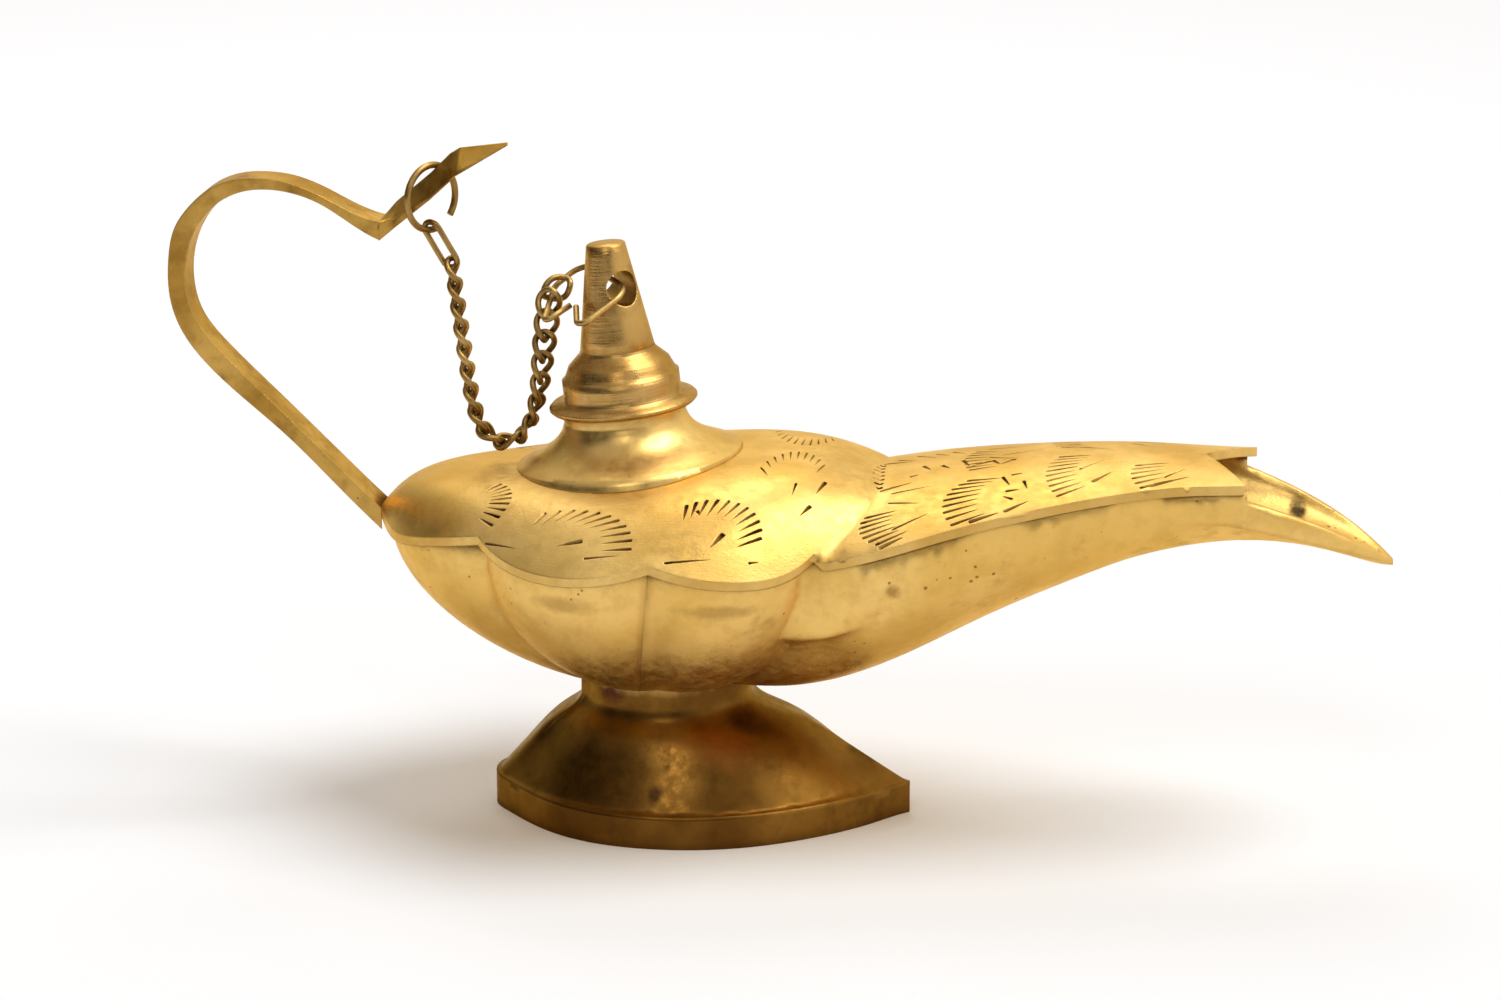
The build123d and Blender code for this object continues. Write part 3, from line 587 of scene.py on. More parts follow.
# Much darker tones than the shell's, with darker and lighter patches
FOOT_BRASS = MarkedBrass(
    "Dark foot brass", "dark_brass",
    bright=(0.27, 0.13, 0.022), tone=(0.14, 0.06, 0.01), deep=(0.09, 0.036, 0.006),
    stain=(0.07, 0.026, 0.008), work=Work.CAST, roughness=0.34, stain_share=0.5,
    grain_depth=0.009, streak_depth=0.01, edge_wear=0.55,
    marks=(
        SpotMark((-20.7, -8.5, 18.0), (3.0, 4.0, 2.2), (0.08, 0.022, 0.014), 0.85, 0.4),
        SpotMark((-7.0, -10.0, 11.0), (7.0, 5.0, 4.0), (0.34, 0.10, 0.018), 0.55, 0.0),
        SpotMark((-13.9, -16.0, 6.7), (1.2, 2.0, 1.6), (0.05, 0.018, 0.008), 0.8, 0.3),
        SpotMark((-16.0, -9.0, 19.5), (12.0, 12.0, 2.0), (0.62, 0.40, 0.13), 0.55, 0.0),
    ),
)
HANDLE_BRASS = Brass(
    "Rolled handle brass", "handle_brass",
    bright=(0.60, 0.36, 0.085), tone=(0.40, 0.21, 0.035), deep=(0.26, 0.125, 0.02),
    stain=(0.11, 0.055, 0.015), work=Work.ROLLED, roughness=0.36, streak_depth=0.02,
    grain_depth=0.014, stain_share=0.5, pit_share=0.5, mottle_share=0.6,
)
WIRE_BRASS = Brass(
    "Tarnished wire brass", "wire_brass",
    bright=(0.52, 0.34, 0.115), tone=(0.31, 0.18, 0.052), deep=(0.2, 0.105, 0.028),
    stain=(0.09, 0.04, 0.01), work=Work.DRAWN, roughness=0.35, grain_depth=0.008,
    streak_depth=0.006, stain_share=0.5, edge_wear=0.2,
)


def merged_copy(node: str) -> Mesh:
    """Copies a CAD node's mesh with its loose triangles joined and its faces smooth.

    Args:
        node: The CAD node's name.

    Returns:
        The new mesh.
    """
    source = bmesh.new()
    source.from_mesh(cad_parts[node].data)
    bmesh.ops.remove_doubles(source, verts=source.verts, dist=MERGE_DISTANCE * MM)
    mesh = bpy.data.meshes.new(node + "_smooth")
    source.to_mesh(mesh)
    source.free()
    mesh.materials.clear()
    smooth(mesh, SHARP_DEGREES)
    return mesh


def smooth(mesh: Mesh, sharp_degrees: float) -> None:
    """Shades a mesh smooth except across its sharp edges.

    Args:
        mesh: The mesh.
        sharp_degrees: Edges that turn more than this stay sharp.
    """
    mesh.polygons.foreach_set("use_smooth", np.ones(len(mesh.polygons), dtype=bool))
    mesh.set_sharp_from_angle(angle=math.radians(sharp_degrees))
    mesh.update()


def points_of(mesh: Mesh) -> np.ndarray:
    """Reads the places of a mesh's vertices."""
    return np.array([vertex.co for vertex in mesh.vertices])


def placed(name: str, data: bpy.types.ID) -> Object:
    """Puts a new object into the scene.

    Args:
        name: The object's name.
        data: Its mesh, light or camera.

    Returns:
        The object.
    """
    made = bpy.data.objects.new(name, data)
    bpy.context.scene.collection.objects.link(made)
    return made


def show(name: str, mesh: Mesh, finish: str, body: str, *nodes: str) -> Object:
    """Shows a mesh as a piece that rides on a body and stands for CAD nodes.

    Args:
        name: The piece's name.
        mesh: Its mesh, in the lamp's frame.
        finish: The material slot of the record; it is not used.
        body: The body it rides on.
        nodes: The CAD nodes that it replaces.

    Returns:
        The piece.
    """
    piece = placed(name, mesh)
    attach(piece, body)
    if nodes:
        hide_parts(*nodes)
    log.info("%s: %d faces on %s", name, len(mesh.polygons), body)
    return piece


class GeometryTree(Graph):
    """A Geometry Nodes tree with named inputs, built here and baked at once."""

    def __init__(self, name: str) -> None:
        """Starts an empty tree.

        Args:
            name: The tree's name.
        """
        super().__init__(bpy.data.node_groups.new(name, "GeometryNodeTree"))
        for way in ("INPUT", "OUTPUT"):
            self.tree.interface.new_socket("Geometry", in_out=way, socket_type="NodeSocketGeometry")
        self.names: dict[str, str] = {}
        self.source: Node | None = None

    def declare(self, **kinds: str) -> None:
        """Adds the named inputs and the node that gives them.

        Args:
            kinds: A socket type's short name for each input.
        """
        for name, kind in kinds.items():
            socket = self.tree.interface.new_socket(
                name, in_out="INPUT", socket_type="NodeSocket" + kind)
            self.names[name] = socket.identifier
        self.source = self.node("NodeGroupInput")

    def __getitem__(self, name: str) -> Socket:
        """Gives the socket of a named input."""
        return self.source.outputs[name]

    def finish(self, geometry: Socket | Node, material: Socket | None = None) -> None:
        """Ends the tree in real geometry with its material.

        Args:
            geometry: What the tree has made.
            material: The material's socket, or nothing to keep what the faces have.
        """
        last = self.node("GeometryNodeRealizeInstances", {0: geometry})
        if material is not None:
            last = self.node("GeometryNodeSetMaterial", {"Geometry": last, "Material": material})
        self.node("NodeGroupOutput", {0: last})

    def bake(self, name: str, base: Mesh | None = None, **values: object) -> Mesh:
        """Runs the tree on an object of its own and keeps the result as a plain mesh.

        Args:
            name: The mesh's name.
            base: The mesh that the tree starts from.
            values: The inputs by name.

        Returns:
            The baked mesh.
        """
        carrier = placed(name + "_carrier", base or bpy.data.meshes.new(name))
        modifier = carrier.modifiers.new("Tree", "NODES")
        modifier.node_group = self.tree
        for key, value in values.items():
            modifier[self.names[key]] = value
        carrier.update_tag()
        bpy.context.view_layer.update()
        graph = bpy.context.evaluated_depsgraph_get()
        mesh = bpy.data.meshes.new_from_object(carrier.evaluated_get(graph))
        mesh.name = name
        bpy.data.objects.remove(carrier)
        return mesh


@dataclass
class Chain:
    """Twisted links of round wire, each in its own CAD link's place."""

    wire: float = 0.8
    half_length: float = 1.94
    half_width: float = 1.4
    twist: float = 50.0
    count: int = 18
    path_steps: int = 56
    wire_steps: int = 14
    finish: Brass = WIRE_BRASS

    def build_tree(self) -> GeometryTree:
        """Makes the tree of one twisted link about its own middle.

        Returns:
            The tree.
        """
        tree = GeometryTree("Twisted link")
        tree.declare(Wire="Float", Half_Length="Float", Half_Width="Float", Twist="Float",
                     Path_Steps="Int", Wire_Steps="Int", Metal="Material")
        ring = tree.node("GeometryNodeCurvePrimitiveCircle", {"Resolution": tree["Path_Steps"]})
        index = tree.node("GeometryNodeInputIndex")
        turn = tree.maths("DIVIDE", tree.times(index, math.tau), tree["Path_Steps"])
        cosine, sine = tree.maths("COSINE", turn), tree.maths("SINE", turn)
        lean = tree.times(tree["Twist"], tree.times(cosine, -1.0))
        out = tree.times(sine, tree["Half_Width"])
        place = tree.joined(tree.times(cosine, tree["Half_Length"]),
                            tree.times(out, tree.maths("COSINE", lean)),
                            tree.times(out, tree.maths("SINE", lean)))
        bent = tree.node("GeometryNodeSetPosition", {"Geometry": ring, "Position": place})
        section = tree.node("GeometryNodeCurvePrimitiveCircle", {
            "Resolution": tree["Wire_Steps"], "Radius": tree.times(tree["Wire"], 0.5)})
        swept = tree.node("GeometryNodeCurveToMesh", {"Curve": bent, "Profile Curve": section})
        even = tree.node("GeometryNodeSetShadeSmooth", {"Geometry": swept})
        tree.finish(even, tree["Metal"])
        return tree

    def place_of(self, node: str) -> Matrix:
        """Finds where a CAD link lies: its middle, its length and its width.

        Args:
            node: The link's CAD node.

        Returns:
            The matrix from a link about the origin to that place.
        """
        points = points_of(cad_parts[node].data)
        middle = (points.max(0) + points.min(0)) / 2
        spread = points - points.mean(0)
        _, axes = np.linalg.eigh(spread.T @ spread)
        along, across = Vector(axes[:, 2]), Vector(axes[:, 1])
        turn = Matrix((along, across, along.cross(across))).transposed()
        return Matrix.Translation(Vector(middle)) @ turn.to_4x4()

    def build(self, metal: Material) -> None:
        """Bakes one link for each CAD link and puts it in its place.

        Args:
            metal: The wire's material.
        """
        tree = self.build_tree()
        for number in range(1, self.count + 1):
            node = f"link_{number:02d}"
            mesh = tree.bake(
                node + "_twisted", Wire=self.wire * MM, Half_Length=self.half_length * MM,
                Half_Width=self.half_width * MM, Twist=math.radians(self.twist),
                Path_Steps=self.path_steps, Wire_Steps=self.wire_steps, Metal=metal)
            mesh.transform(self.place_of(node))
            show(f"twisted_link_{number:02d}", mesh, self.finish.slot, node, node)


@dataclass(frozen=True)
class Fan:
    """Chisel strokes whose heads lie on an arc and whose tails point to one place.

    Places are in millimetres in the lamp's plan; angles in degrees.
    """

    centre: Pair
    radii: Pair
    first: float
    spread: float
    count: int
    aim: Pair
    length: float
    width: float = 0.5
    depth: float = 0.4


# Fans and single strokes were read off the photo and laid into the plan
FANS = (
    Fan((-38.9, -13.7), (6.6, 6.5), 46.0, -87.0, 9, (-38.2, -13.2), 2.8),
    Fan((-26.3, -24.2), (10.7, 6.3), 95.0, -98.0, 11, (-32.6, -25.9), 3.9),
    Fan((-5.6, -21.2), (5.8, 4.0), 131.0, -135.0, 11, (-10.2, -31.2), 3.5),
    Fan((3.0, -13.8), (4.6, 12.0), -204.0, -116.0, 10, (3.5, -19.4), 3.6, 0.3, 0.2),
    Fan((17.8, -15.8), (5.9, 4.1), 156.0, 77.0, 7, (29.0, -10.5), 4.4),
    Fan((14.6, -3.0), (2.0, 5.8), 120.0, 130.0, 9, (30.0, -3.0), 4.0, 0.6),
    Fan((30.2, -13.5), (8.1, 6.8), 132.0, 81.0, 9, (41.8, -7.2), 4.4),
    Fan((41.1, -7.5), (6.5, 8.4), 142.0, 78.0, 10, (53.6, -1.0), 4.0),
    Fan((49.1, -7.8), (3.9, 4.3), 151.0, 75.0, 6, (62.9, -1.2), 4.4),
    Fan((26.0, -1.5), (2.0, 4.6), 115.0, 120.0, 8, (42.0, -1.0), 3.4, 0.5),
)
# From x, y, to x, y, and the width
SINGLE_STROKES = (
    (-21.9, -23.1, -25.2, -23.8, 0.7), (-34.3, -20.2, -28.9, -22.8, 0.35),
    (-21.1, -25.3, -16.2, -24.8, 0.35),
    (-4.4, -22.1, -5.6, -24.7, 0.7), (-8.0, -19.1, -7.7, -19.8, 0.6), (-10.9, -26.0, -3.5, -24.3, 0.35),
    (-1.0, -24.3, 0.1, -23.8, 0.35), (3.6, -12.5, 3.5, -15.2, 0.35), (7.1, -10.9, 6.2, -14.5, 0.6),
    (5.7, -15.6, 4.9, -17.8, 0.6), (14.7, -19.7, 17.4, -18.0, 0.7), (16.1, -17.0, 20.2, -14.3, 0.35),
    (15.2, -11.8, 19.4, -12.6, 0.35), (15.5, -9.6, 21.3, -8.5, 0.35), (15.2, 2.9, 18.1, 1.0, 0.35),
    (17.6, 3.9, 20.3, 1.5, 0.35), (20.0, 3.8, 21.8, 1.9, 0.35), (22.1, 3.9, 24.1, 1.8, 0.35),
    (25.6, -16.9, 29.0, -15.2, 0.7), (29.8, -15.4, 32.6, -13.3, 0.6), (40.4, -9.9, 42.8, -7.2, 0.6),
    (38.7, -6.7, 42.3, -3.1, 0.35), (47.6, -10.4, 52.6, -7.6, 0.6), (49.3, -8.4, 52.3, -5.4, 0.35),
    (26.8, 3.8, 33.1, 4.8, 0.35), (28.9, 0.0, 33.9, 2.0, 0.35), (27.1, -0.9, 30.9, -2.0, 0.35),
    (38.3, 2.1, 44.7, -0.3, 0.35), (44.8, 3.9, 47.8, 2.1, 0.35), (18.7, -1.9, 19.8, -3.8, 0.6),
    (17.3, -5.4, 18.3, -5.0, 0.6), (21.1, -2.6, 22.2, -3.9, 0.6), (23.7, -1.2, 24.7, -4.0, 0.6),
    (27.2, -2.5, 24.9, -4.0, 0.6), (27.5, -2.2, 28.5, -3.9, 0.6), (30.3, -2.3, 28.6, -3.9, 0.6),
    (38.2, 4.0, 35.4, 4.2, 0.6), (29.1, -8.0, 30.0, -10.2, 0.5), (30.2, -7.6, 31.5, -7.2, 0.5),
    (29.7, -11.5, 31.2, -11.2, 0.5), (31.8, -9.3, 32.3, -11.4, 0.5), (30.6, -13.2, 29.4, -12.5, 0.5),
)


def mirrored(fan: Fan) -> Fan:
    """Gives the same fan on the far side of the lamp."""
    (x, y), (aim_x, aim_y) = fan.centre, fan.aim
    return replace(fan, centre=(x, -y), aim=(aim_x, -aim_y), first=-fan.first, spread=-fan.spread)


def single_stroke(x: float, y: float, to_x: float, to_y: float, width: float) -> Fan:
    """Gives one stroke as a fan of its own."""
    return Fan((x, y), (0.0, 0.0), 0.0, 0.0, 1, (to_x, to_y), math.hypot(to_x - x, to_y - y), width)


@dataclass
class Cover:
    """The arched cover with its engraved fans cut into the metal."""

    fans: tuple[Fan, ...] = (
        FANS
        + tuple(mirrored(fan) for fan in FANS if fan.centre[1] < -5.0)
        + tuple(single_stroke(*row) for row in SINGLE_STROKES)
    )
    finish: Brass = COVER_BRASS
    ray_start: float = 70.0
    # Across the stroke, in shares of its width and its depth
    section: tuple[Pair, ...] = (
        (-0.5, 0.6), (-0.5, 0.0), (0.0, -1.0), (0.5, 0.0), (0.5, 0.6))
    # Shares of a stroke's length, and how wide and deep the wedge is there
    stations: tuple[Colour, ...] = (
        (-0.04, 0.8, 0.85), (0.06, 1.0, 1.0), (0.45, 0.75, 0.7), (0.85, 0.45, 0.4), (1.0, 0.2, 0.2))

    def chisel(self, metal: Material) -> Object:
        """Makes the cutter of one stroke: a wedge with a wide deep head and a thin tail.

        Args:
            metal: The material of the cut faces.

        Returns:
            The cutter, one long, one wide and one deep, lying along X.
        """
        shape = bmesh.new()
        rows = []
        for along, wide, deep in self.stations:
            rows.append([shape.verts.new((along, y * wide, z * deep if z < 0 else z))
                         for y, z in self.section])
        for row, following in zip(rows, rows[1:]):
            for index in range(len(row)):
                after = (index + 1) % len(row)
                shape.faces.new((row[index], row[after], following[after], following[index]))
        shape.faces.new(rows[0][::-1])
        shape.faces.new(rows[-1])
        bmesh.ops.recalc_face_normals(shape, faces=shape.faces)
        mesh = bpy.data.meshes.new("chisel_stroke")
        shape.to_mesh(mesh)
        shape.free()
        mesh.materials.append(metal)
        return placed("chisel_stroke", mesh)

    def fan_tree(self) -> GeometryTree:
        """Makes the tree that lays one fan of strokes on the cover.

        Returns:
            The tree.
        """
        tree = GeometryTree("Engraved fan")
        tree.declare(Count="Int", Centre="Vector", Radii="Vector", First="Float", Spread="Float",
                     Aim="Vector", Stroke_Size="Vector", Ray_Start="Float", Stroke="Object",
                     Cover="Object")
        line = tree.node("GeometryNodeMeshLine", {"Count": tree["Count"]})
        index = tree.node("GeometryNodeInputIndex")
        gaps = tree.maths("MAXIMUM", tree.maths("SUBTRACT", tree["Count"], 1.0), 1.0)
        turned = tree.times(tree.maths("DIVIDE", index, gaps), tree["Spread"])
        angle = tree.maths("ADD", turned, tree["First"])
        arc = tree.joined(tree.maths("COSINE", angle), tree.maths("SINE", angle))
        out = tree.vectors("MULTIPLY", arc, tree["Radii"])
        head = tree.vectors("ADD", out, tree["Centre"])
        above = tree.joined(0.0, 0.0, tree["Ray_Start"])
        cover = tree.node("GeometryNodeObjectInfo", {"Object": tree["Cover"]},
                          transform_space="RELATIVE")
        ray = tree.node("GeometryNodeRaycast", {
            "Target Geometry": cover.outputs["Geometry"],
            "Source Position": tree.vectors("ADD", head, above),
            "Ray Direction": (0.0, 0.0, -1.0)}, data_type="FLOAT")
        laid = tree.node("GeometryNodeSetPosition", {
            "Geometry": line, "Position": ray.outputs["Hit Position"]})
        level = tree.node("FunctionNodeAlignRotationToVector",
                          {"Vector": ray.outputs["Hit Normal"]}, axis="Z")
        along = tree.node("FunctionNodeAlignRotationToVector", {
            "Rotation": level,
            "Vector": tree.vectors("SUBTRACT", tree["Aim"], head)}, axis="X", pivot_axis="Z")
        stroke = tree.node("GeometryNodeObjectInfo", {"Object": tree["Stroke"]})
        spread = tree.node("GeometryNodeInstanceOnPoints", {
            "Points": laid, "Instance": stroke.outputs["Geometry"],
            "Rotation": along, "Scale": tree["Stroke_Size"]})
        tree.finish(spread)
        return tree

    def cutters(self, tree: GeometryTree, cover: Object,
                stroke: Object) -> Object:
        """Bakes every fan and joins the strokes into one cutter.

        Args:
            tree: The tree of one fan.
            cover: The plain cover, as what the strokes lie on.
            stroke: The cutter of one stroke.

        Returns:
            The joined cutter.
        """
        joined = bmesh.new()
        for number, fan in enumerate(self.fans):
            mesh = tree.bake(
                f"fan_{number}", Count=fan.count, Centre=plan(fan.centre), Radii=plan(fan.radii),
                First=math.radians(fan.first), Spread=math.radians(fan.spread), Aim=plan(fan.aim),
                Stroke_Size=(fan.length * MM, fan.width * MM, fan.depth * MM),
                Ray_Start=self.ray_start * MM, Stroke=stroke, Cover=cover)
            joined.from_mesh(mesh)
        mesh = bpy.data.meshes.new("all_strokes")
        joined.to_mesh(mesh)
        joined.free()
        mesh.materials.append(stroke.data.materials[0])
        return placed("all_strokes", mesh)

    def engrave_tree(self) -> GeometryTree:
        """Makes the tree that cuts the strokes out of the cover.

        Returns:
            The tree.
        """
        tree = GeometryTree("Engraved cover")
        tree.declare(Strokes="Object")
        strokes = tree.node("GeometryNodeObjectInfo", {"Object": tree["Strokes"]})
        cut = tree.node("GeometryNodeMeshBoolean", {
            "Self Intersection": True, "Mesh 1": tree["Geometry"],
            "Mesh 2": strokes.outputs["Geometry"]}, operation="DIFFERENCE", solver="EXACT")
        tree.finish(cut.outputs["Mesh"])
        return tree

    def build(self, metal: Material, cut_metal: Material) -> None:
        """Engraves the cover and shows it in the CAD cover's place.

        Args:
            metal: The cover's material.
            cut_metal: The material inside the strokes.
        """
        plain = merged_copy("upper_shell")
        plain.materials.append(metal)
        ground = placed("plain_cover", plain)
        stroke = self.chisel(cut_metal)
        cutter = self.cutters(self.fan_tree(), ground, stroke)
        mesh = self.engrave_tree().bake("engraved_cover", plain.copy(), Strokes=cutter)
        smooth(mesh, SHARP_DEGREES)
        keep_normals(mesh, plain)
        for helper in (ground, stroke, cutter):
            bpy.data.objects.remove(helper)
        show("engraved_cover", mesh, self.finish.slot, "lamp", "upper_shell")


def plan(point: Pair) -> Colour:
    """Gives a place or size in the lamp's plan in metres."""
    return (point[0] * MM, point[1] * MM, 0.0)


def keep_normals(mesh: Mesh, plain: Mesh) -> None:
    """Gives the outer faces of a cut mesh the smooth normals of the uncut mesh.

    Args:
        mesh: The cut mesh, whose cut faces have the second material.
        plain: The mesh before the cut.
    """
    plain.calc_loop_triangles()
    triangles = [tuple(t.vertices) for t in plain.loop_triangles]
    corners = [tuple(t.loops) for t in plain.loop_triangles]
    points = [v.co.copy() for v in plain.vertices]
    tree = BVHTree.FromPolygons(points, triangles)
    normals = [Vector(n.vector) for n in plain.corner_normals]
    kept = [Vector(n.vector) for n in mesh.corner_normals]
    for polygon in mesh.polygons:
        if polygon.material_index > 0:
            continue
        for loop in polygon.loop_indices:
            place = mesh.vertices[mesh.loops[loop].vertex_index].co
            inward = place * (1 - INWARD_SHARE) + polygon.center * INWARD_SHARE
            spot, _, index, _ = tree.find_nearest(inward)
            weights = poly_3d_calc([points[v] for v in triangles[index]], spot)
            normal = Vector((0.0, 0.0, 0.0))
            for weight, corner in zip(weights, corners[index]):
                normal += normals[corner] * weight
            if normal.dot(polygon.normal) > SAME_WAY:
                kept[loop] = normal.normalized()
    mesh.normals_split_custom_set([tuple(n) for n in kept])


@dataclass(frozen=True)
class RoundedSpout:
    """Rounds the spout's sides from the rim to the keel, where the CAD shell has a shoulder."""

    reach: tuple[float, float, float, float] = (8.0, 13.0, 50.0, 60.0)
    power: float = 2.15
    station_gap: float = 1.0
    rim_share: float = 0.97

    def stations(self, points: np.ndarray, edges: np.ndarray) -> tuple:
        """Measures the shell's half width, its widest height and its keel along its length.

        Args:
            points: The vertices in millimetres.
            edges: The pairs of vertices.

        Returns:
            The stations and the three measures at each.
        """
        first, second = points[edges[:, 0]], points[edges[:, 1]]
        places = np.arange(self.reach[0], self.reach[3], self.station_gap)
        rows = []
        for x in places:
            crossing = (first[:, 0] - x) * (second[:, 0] - x) < 0
            start, end = first[crossing], second[crossing]
            share = (x - start[:, 0]) / (end[:, 0] - start[:, 0])
            cut = start + (end - start) * share[:, None]
            half = np.abs(cut[:, 1]).max()
            widest = cut[np.abs(cut[:, 1]) > self.rim_share * half, 2].max()
            rows.append((half, widest, cut[:, 2].min()))
        return places, *np.array(rows).T

    def apply(self, mesh: Mesh) -> None:
        """Moves the outer vertices of the spout onto rounded sections.

        Args:
            mesh: The lower shell's mesh.
        """
        points = points_of(mesh) / MM
        normals = np.array([vertex.normal for vertex in mesh.vertices])
        edges = np.array([tuple(edge.vertices) for edge in mesh.edges])
        places, half, widest, keel = self.stations(points, edges)
        x, y, z = points.T
        half, widest, keel = (np.interp(x, places, row) for row in (half, widest, keel))
        drop = widest - z
        outward = normals[:, 1] * y - normals[:, 2] * drop > 0
        weight = np.interp(x, self.reach, (0.0, 1.0, 1.0, 0.0))
        aside, down = np.abs(y) / half, np.clip(drop / (widest - keel), 0, None)
        size = aside ** self.power + down ** self.power
        factor = np.where(outward & (drop > 0) & (weight > 0), size ** (-1 / self.power), 1.0)
        factor = 1 + (factor - 1) * weight
        points[:, 1] = y * factor
        points[:, 2] = np.where(drop > 0, widest - drop * factor, z)
        mesh.vertices.foreach_set("co", (points * MM).ravel())
        mesh.update()


@dataclass
class SmoothPieces:
    """The pieces shown as smooth copies of the CAD ones, the spout rounded as well."""

    shown: tuple[tuple[str, str, Brass], ...] = (
        ("lower_shell", "lamp", SHELL_BRASS),
        ("neck", "lamp", NECK_BRASS),
        ("foot", "lamp", FOOT_BRASS),
        ("handle", "lamp", HANDLE_BRASS),
        ("cap", "cap", CAP_BRASS),
        ("cap_ring", "cap_ring", WIRE_BRASS),
        ("handle_ring", "handle_ring", WIRE_BRASS),
        ("hook_link", "hook_link", WIRE_BRASS),
    )
    spout: RoundedSpout = RoundedSpout()

    def build(self, materials: dict[str, Material]) -> None:
        """Shows a smooth copy of each piece.

        Args:
            materials: The materials by their finish's name.
        """
        for node, body, finish in self.shown:
            mesh = merged_copy(node)
            if node == "lower_shell":
                self.spout.apply(mesh)
                smooth(mesh, SPOUT_SHARP_DEGREES)
            mesh.materials.append(materials[finish.name])
            show(node + "_skin", mesh, finish.slot, body, node)


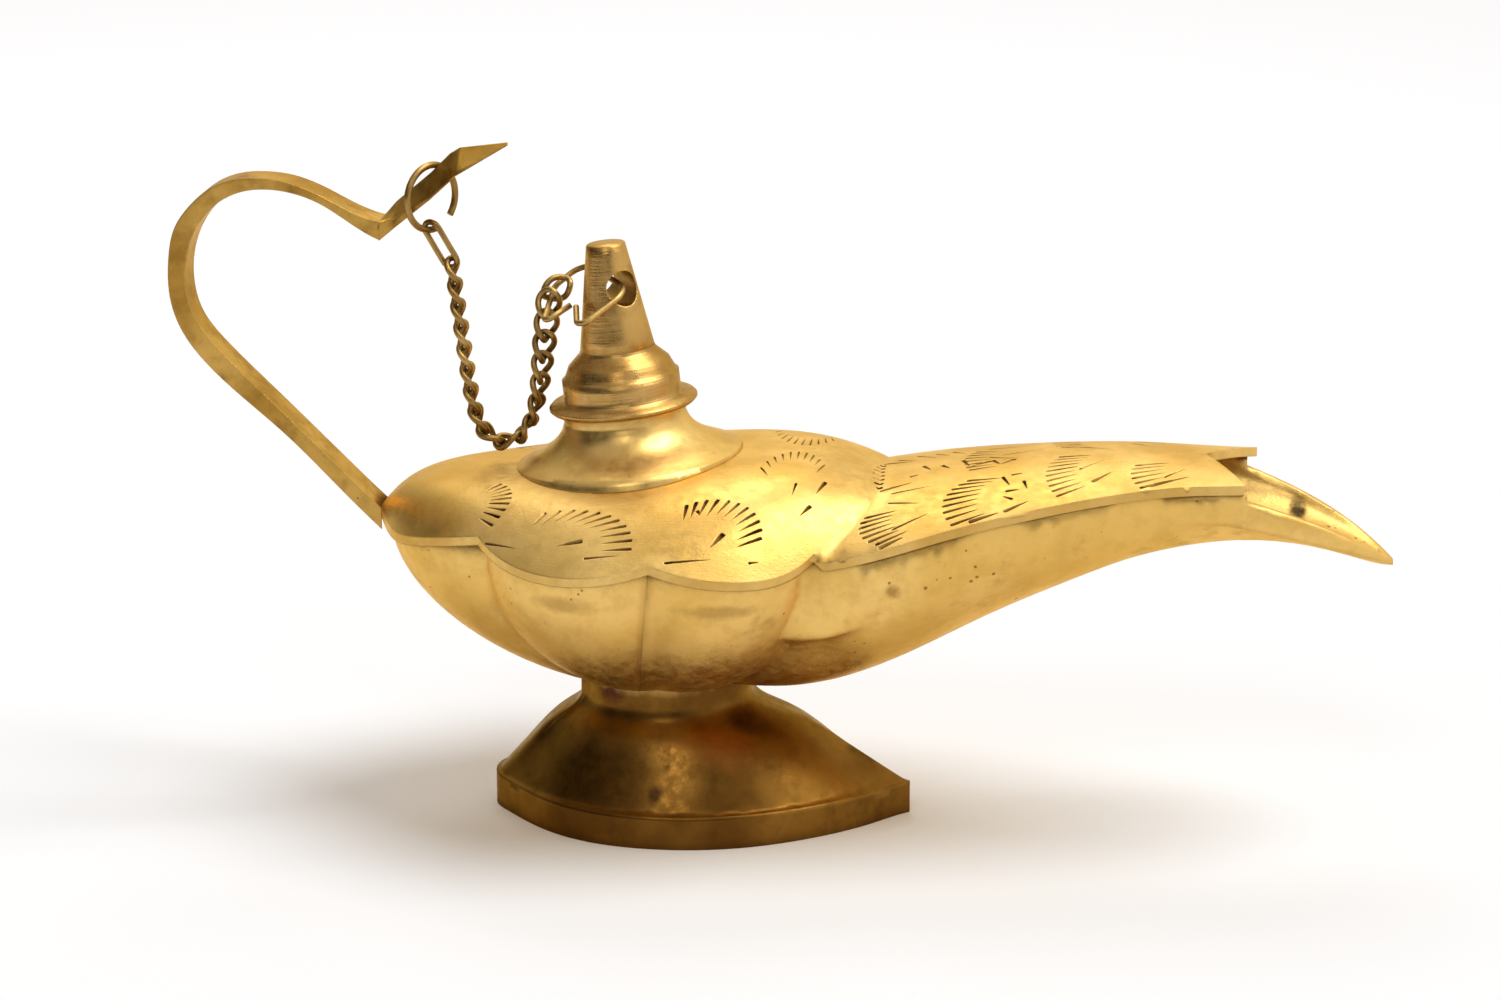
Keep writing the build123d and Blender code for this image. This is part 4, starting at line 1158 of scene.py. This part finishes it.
@dataclass
class Studio:
    """A pale floor, soft lamps and a camera fitted to the photo's outline."""

    azimuth: float = 6.5
    elevation: float = 15.5
    distance: float = 560.0
    pixels_per_mm: float = 7.64
    aim: Colour = (-16.116, 0.0, 0.0)
    aim_pixel: Pair = (655.0, 802.0)
    image: tuple[int, int] = (1500, 1000)
    sensor: float = 36.0
    clip: Pair = (0.01, 50.0)
    floor_half: float = 6.0
    floor_drop: float = 0.03
    # The cool diffuse colour and the warm glow add up to white in the open and leave a painted warm
    # tint in the shadow, standing in for light bounced off the brass
    floor_diffuse: Colour = (0.83, 0.88, 0.94)
    floor_glow: Colour = (0.15, 0.09, 0.03)
    sky: Colour = (1.0, 0.99, 0.975)
    ambient: float = 0.27
    # Reflections: the way's share at either end, and how bright it is there
    backdrop_depth: Span = (-0.15, 0.35, 0.17, 1.0)
    backdrop_width: Span = (-0.9, -0.1, 0.3, 1.0)
    above: Span = (0.45, 0.85, 0.0, 0.6)
    beside: Span = (0.2, 0.75, 0.0, 1.0)
    overhead_strength: float = 2.05
    overhead_angle: float = 38.0
    overhead_lean: float = 27.0
    # Name, place in metres, side and watts
    softboxes: tuple[tuple[str, Colour, float, float], ...] = (
        ("rear_softbox", (-0.12, 0.5, 0.74), 0.36, 1.3),
        ("front_softbox", (-0.05, -0.6, 0.6), 0.22, 0.7),
    )
    softbox_aim: Colour = (0.0, 0.0, 0.04)

    def camera(self) -> None:
        """Makes the camera."""
        turn, rise = math.radians(self.azimuth), math.radians(self.elevation)
        level = math.cos(rise)
        back = Vector((math.sin(turn) * level, -math.cos(turn) * level, math.sin(rise)))
        right = Vector((math.cos(turn), math.sin(turn), 0.0))
        up = back.cross(right)
        aside = -(self.aim_pixel[0] - self.image[0] / 2) / self.pixels_per_mm
        above = (self.aim_pixel[1] - self.image[1] / 2) / self.pixels_per_mm
        place = Vector(self.aim) + right * aside + up * above + back * self.distance
        data = bpy.data.cameras.new("photo_camera")
        data.sensor_width = self.sensor
        data.lens = self.pixels_per_mm * self.distance * self.sensor / self.image[0]
        data.clip_start, data.clip_end = self.clip
        camera = placed("photo_camera", data)
        turned = Matrix((right, up, back)).transposed().to_4x4()
        camera.matrix_world = Matrix.Translation(place * MM) @ turned
        bpy.context.scene.camera = camera

    def seen(self, graph: Graph) -> Socket:
        """Tells rays that show the background, in the view or in a reflection.

        Args:
            graph: The tree to add to.

        Returns:
            1 for such rays and 0 for those that light the scene.
        """
        path = graph.node("ShaderNodeLightPath")
        shown = graph.maths("MAXIMUM", path.outputs["Is Camera Ray"], path.outputs["Is Glossy Ray"])
        return graph.maths("MAXIMUM", shown, path.outputs["Is Transmission Ray"])

    def floor(self) -> None:
        """Makes the pale floor, whose faint glow warms the shadow."""
        half, height = self.floor_half, -self.floor_drop * MM
        mesh = bpy.data.meshes.new("pale_floor")
        corners = [(-half, -half), (half, -half), (half, half), (-half, half)]
        mesh.from_pydata([(x, y, height) for x, y in corners], [], [(0, 1, 2, 3)])
        material = bpy.data.materials.new("Pale table")
        graph = Graph(emptied(material))
        table = graph.node("ShaderNodeBsdfDiffuse", {"Color": (*self.floor_diffuse, 1.0)})
        glow = graph.node("ShaderNodeEmission", {
            "Color": (*self.floor_glow, 1.0), "Strength": self.seen(graph)})
        both = graph.node("ShaderNodeAddShader", {0: table, 1: glow})
        graph.node("ShaderNodeOutputMaterial", {"Surface": both})
        mesh.materials.append(material)
        floor = placed("pale_floor", mesh)

    def world(self) -> None:
        """Makes the white surroundings, in reflections dark towards the camera and the left."""
        world = bpy.data.worlds.new("White room")
        bpy.context.scene.world = world
        graph = Graph(emptied(world))
        x, y, z = graph.parts(graph.node("ShaderNodeTexCoord").outputs["Generated"])
        backdrop = graph.times(graph.span(y, *self.backdrop_depth),
                               graph.span(x, *self.backdrop_width))
        above, beside = graph.span(z, *self.above), graph.span(x, *self.beside)
        reflected = graph.maths("MAXIMUM", graph.maths("MAXIMUM", backdrop, above), beside)
        path = graph.node("ShaderNodeLightPath")
        glossy = graph.node("ShaderNodeMix", {
            0: path.outputs["Is Glossy Ray"], 2: 1.0, 3: reflected}, data_type="FLOAT")
        level = graph.node("ShaderNodeMix", {
            0: self.seen(graph), 2: self.ambient, 3: glossy}, data_type="FLOAT")
        sky = graph.node("ShaderNodeBackground", {
            "Color": (*self.sky, 1.0), "Strength": level})
        graph.node("ShaderNodeOutputWorld", {"Surface": sky})

    def lamp(self, name: str, place: Colour, size: float, watts: float) -> None:
        """Hangs one square soft lamp that faces the oil lamp.

        Args:
            name: The lamp's name.
            place: Where it hangs, in metres.
            size: Its side in metres.
            watts: Its power.
        """
        data = bpy.data.lights.new(name, "AREA")
        data.shape, data.size, data.energy = "SQUARE", size, watts
        lamp = placed(name, data)
        toward = Vector(self.softbox_aim) - Vector(place)
        turned = toward.to_track_quat("-Z", "Y").to_matrix().to_4x4()
        lamp.matrix_world = Matrix.Translation(place) @ turned

    def overhead(self) -> None:
        """Hangs the large soft light above, leaning to one side."""
        data = bpy.data.lights.new("overhead_light", "SUN")
        data.energy, data.angle = self.overhead_strength, math.radians(self.overhead_angle)
        light = placed("overhead_light", data)
        light.rotation_euler = (0.0, math.radians(self.overhead_lean), 0.0)

    def build(self) -> None:
        """Sets up the whole studio."""
        self.floor()
        self.world()
        self.overhead()
        for softbox in self.softboxes:
            self.lamp(*softbox)
        self.camera()
        bpy.context.scene.view_settings.view_transform = "Standard"
        log.info("studio: camera, floor, surroundings and three lights")


def main() -> None:
    """Dresses the lamp piece by piece, then sets up the studio."""
    logging.basicConfig(level=logging.INFO, format="%(name)s: %(message)s")
    finishes = (SHELL_BRASS, COVER_BRASS, CUT_BRASS, NECK_BRASS, CAP_BRASS, FOOT_BRASS,
                HANDLE_BRASS, WIRE_BRASS)
    materials = {finish.name: finish.build() for finish in finishes}
    SmoothPieces().build(materials)
    Cover().build(materials[COVER_BRASS.name], materials[CUT_BRASS.name])
    Chain().build(materials[WIRE_BRASS.name])
    Studio().build()


if __name__ == "__main__":
    main()
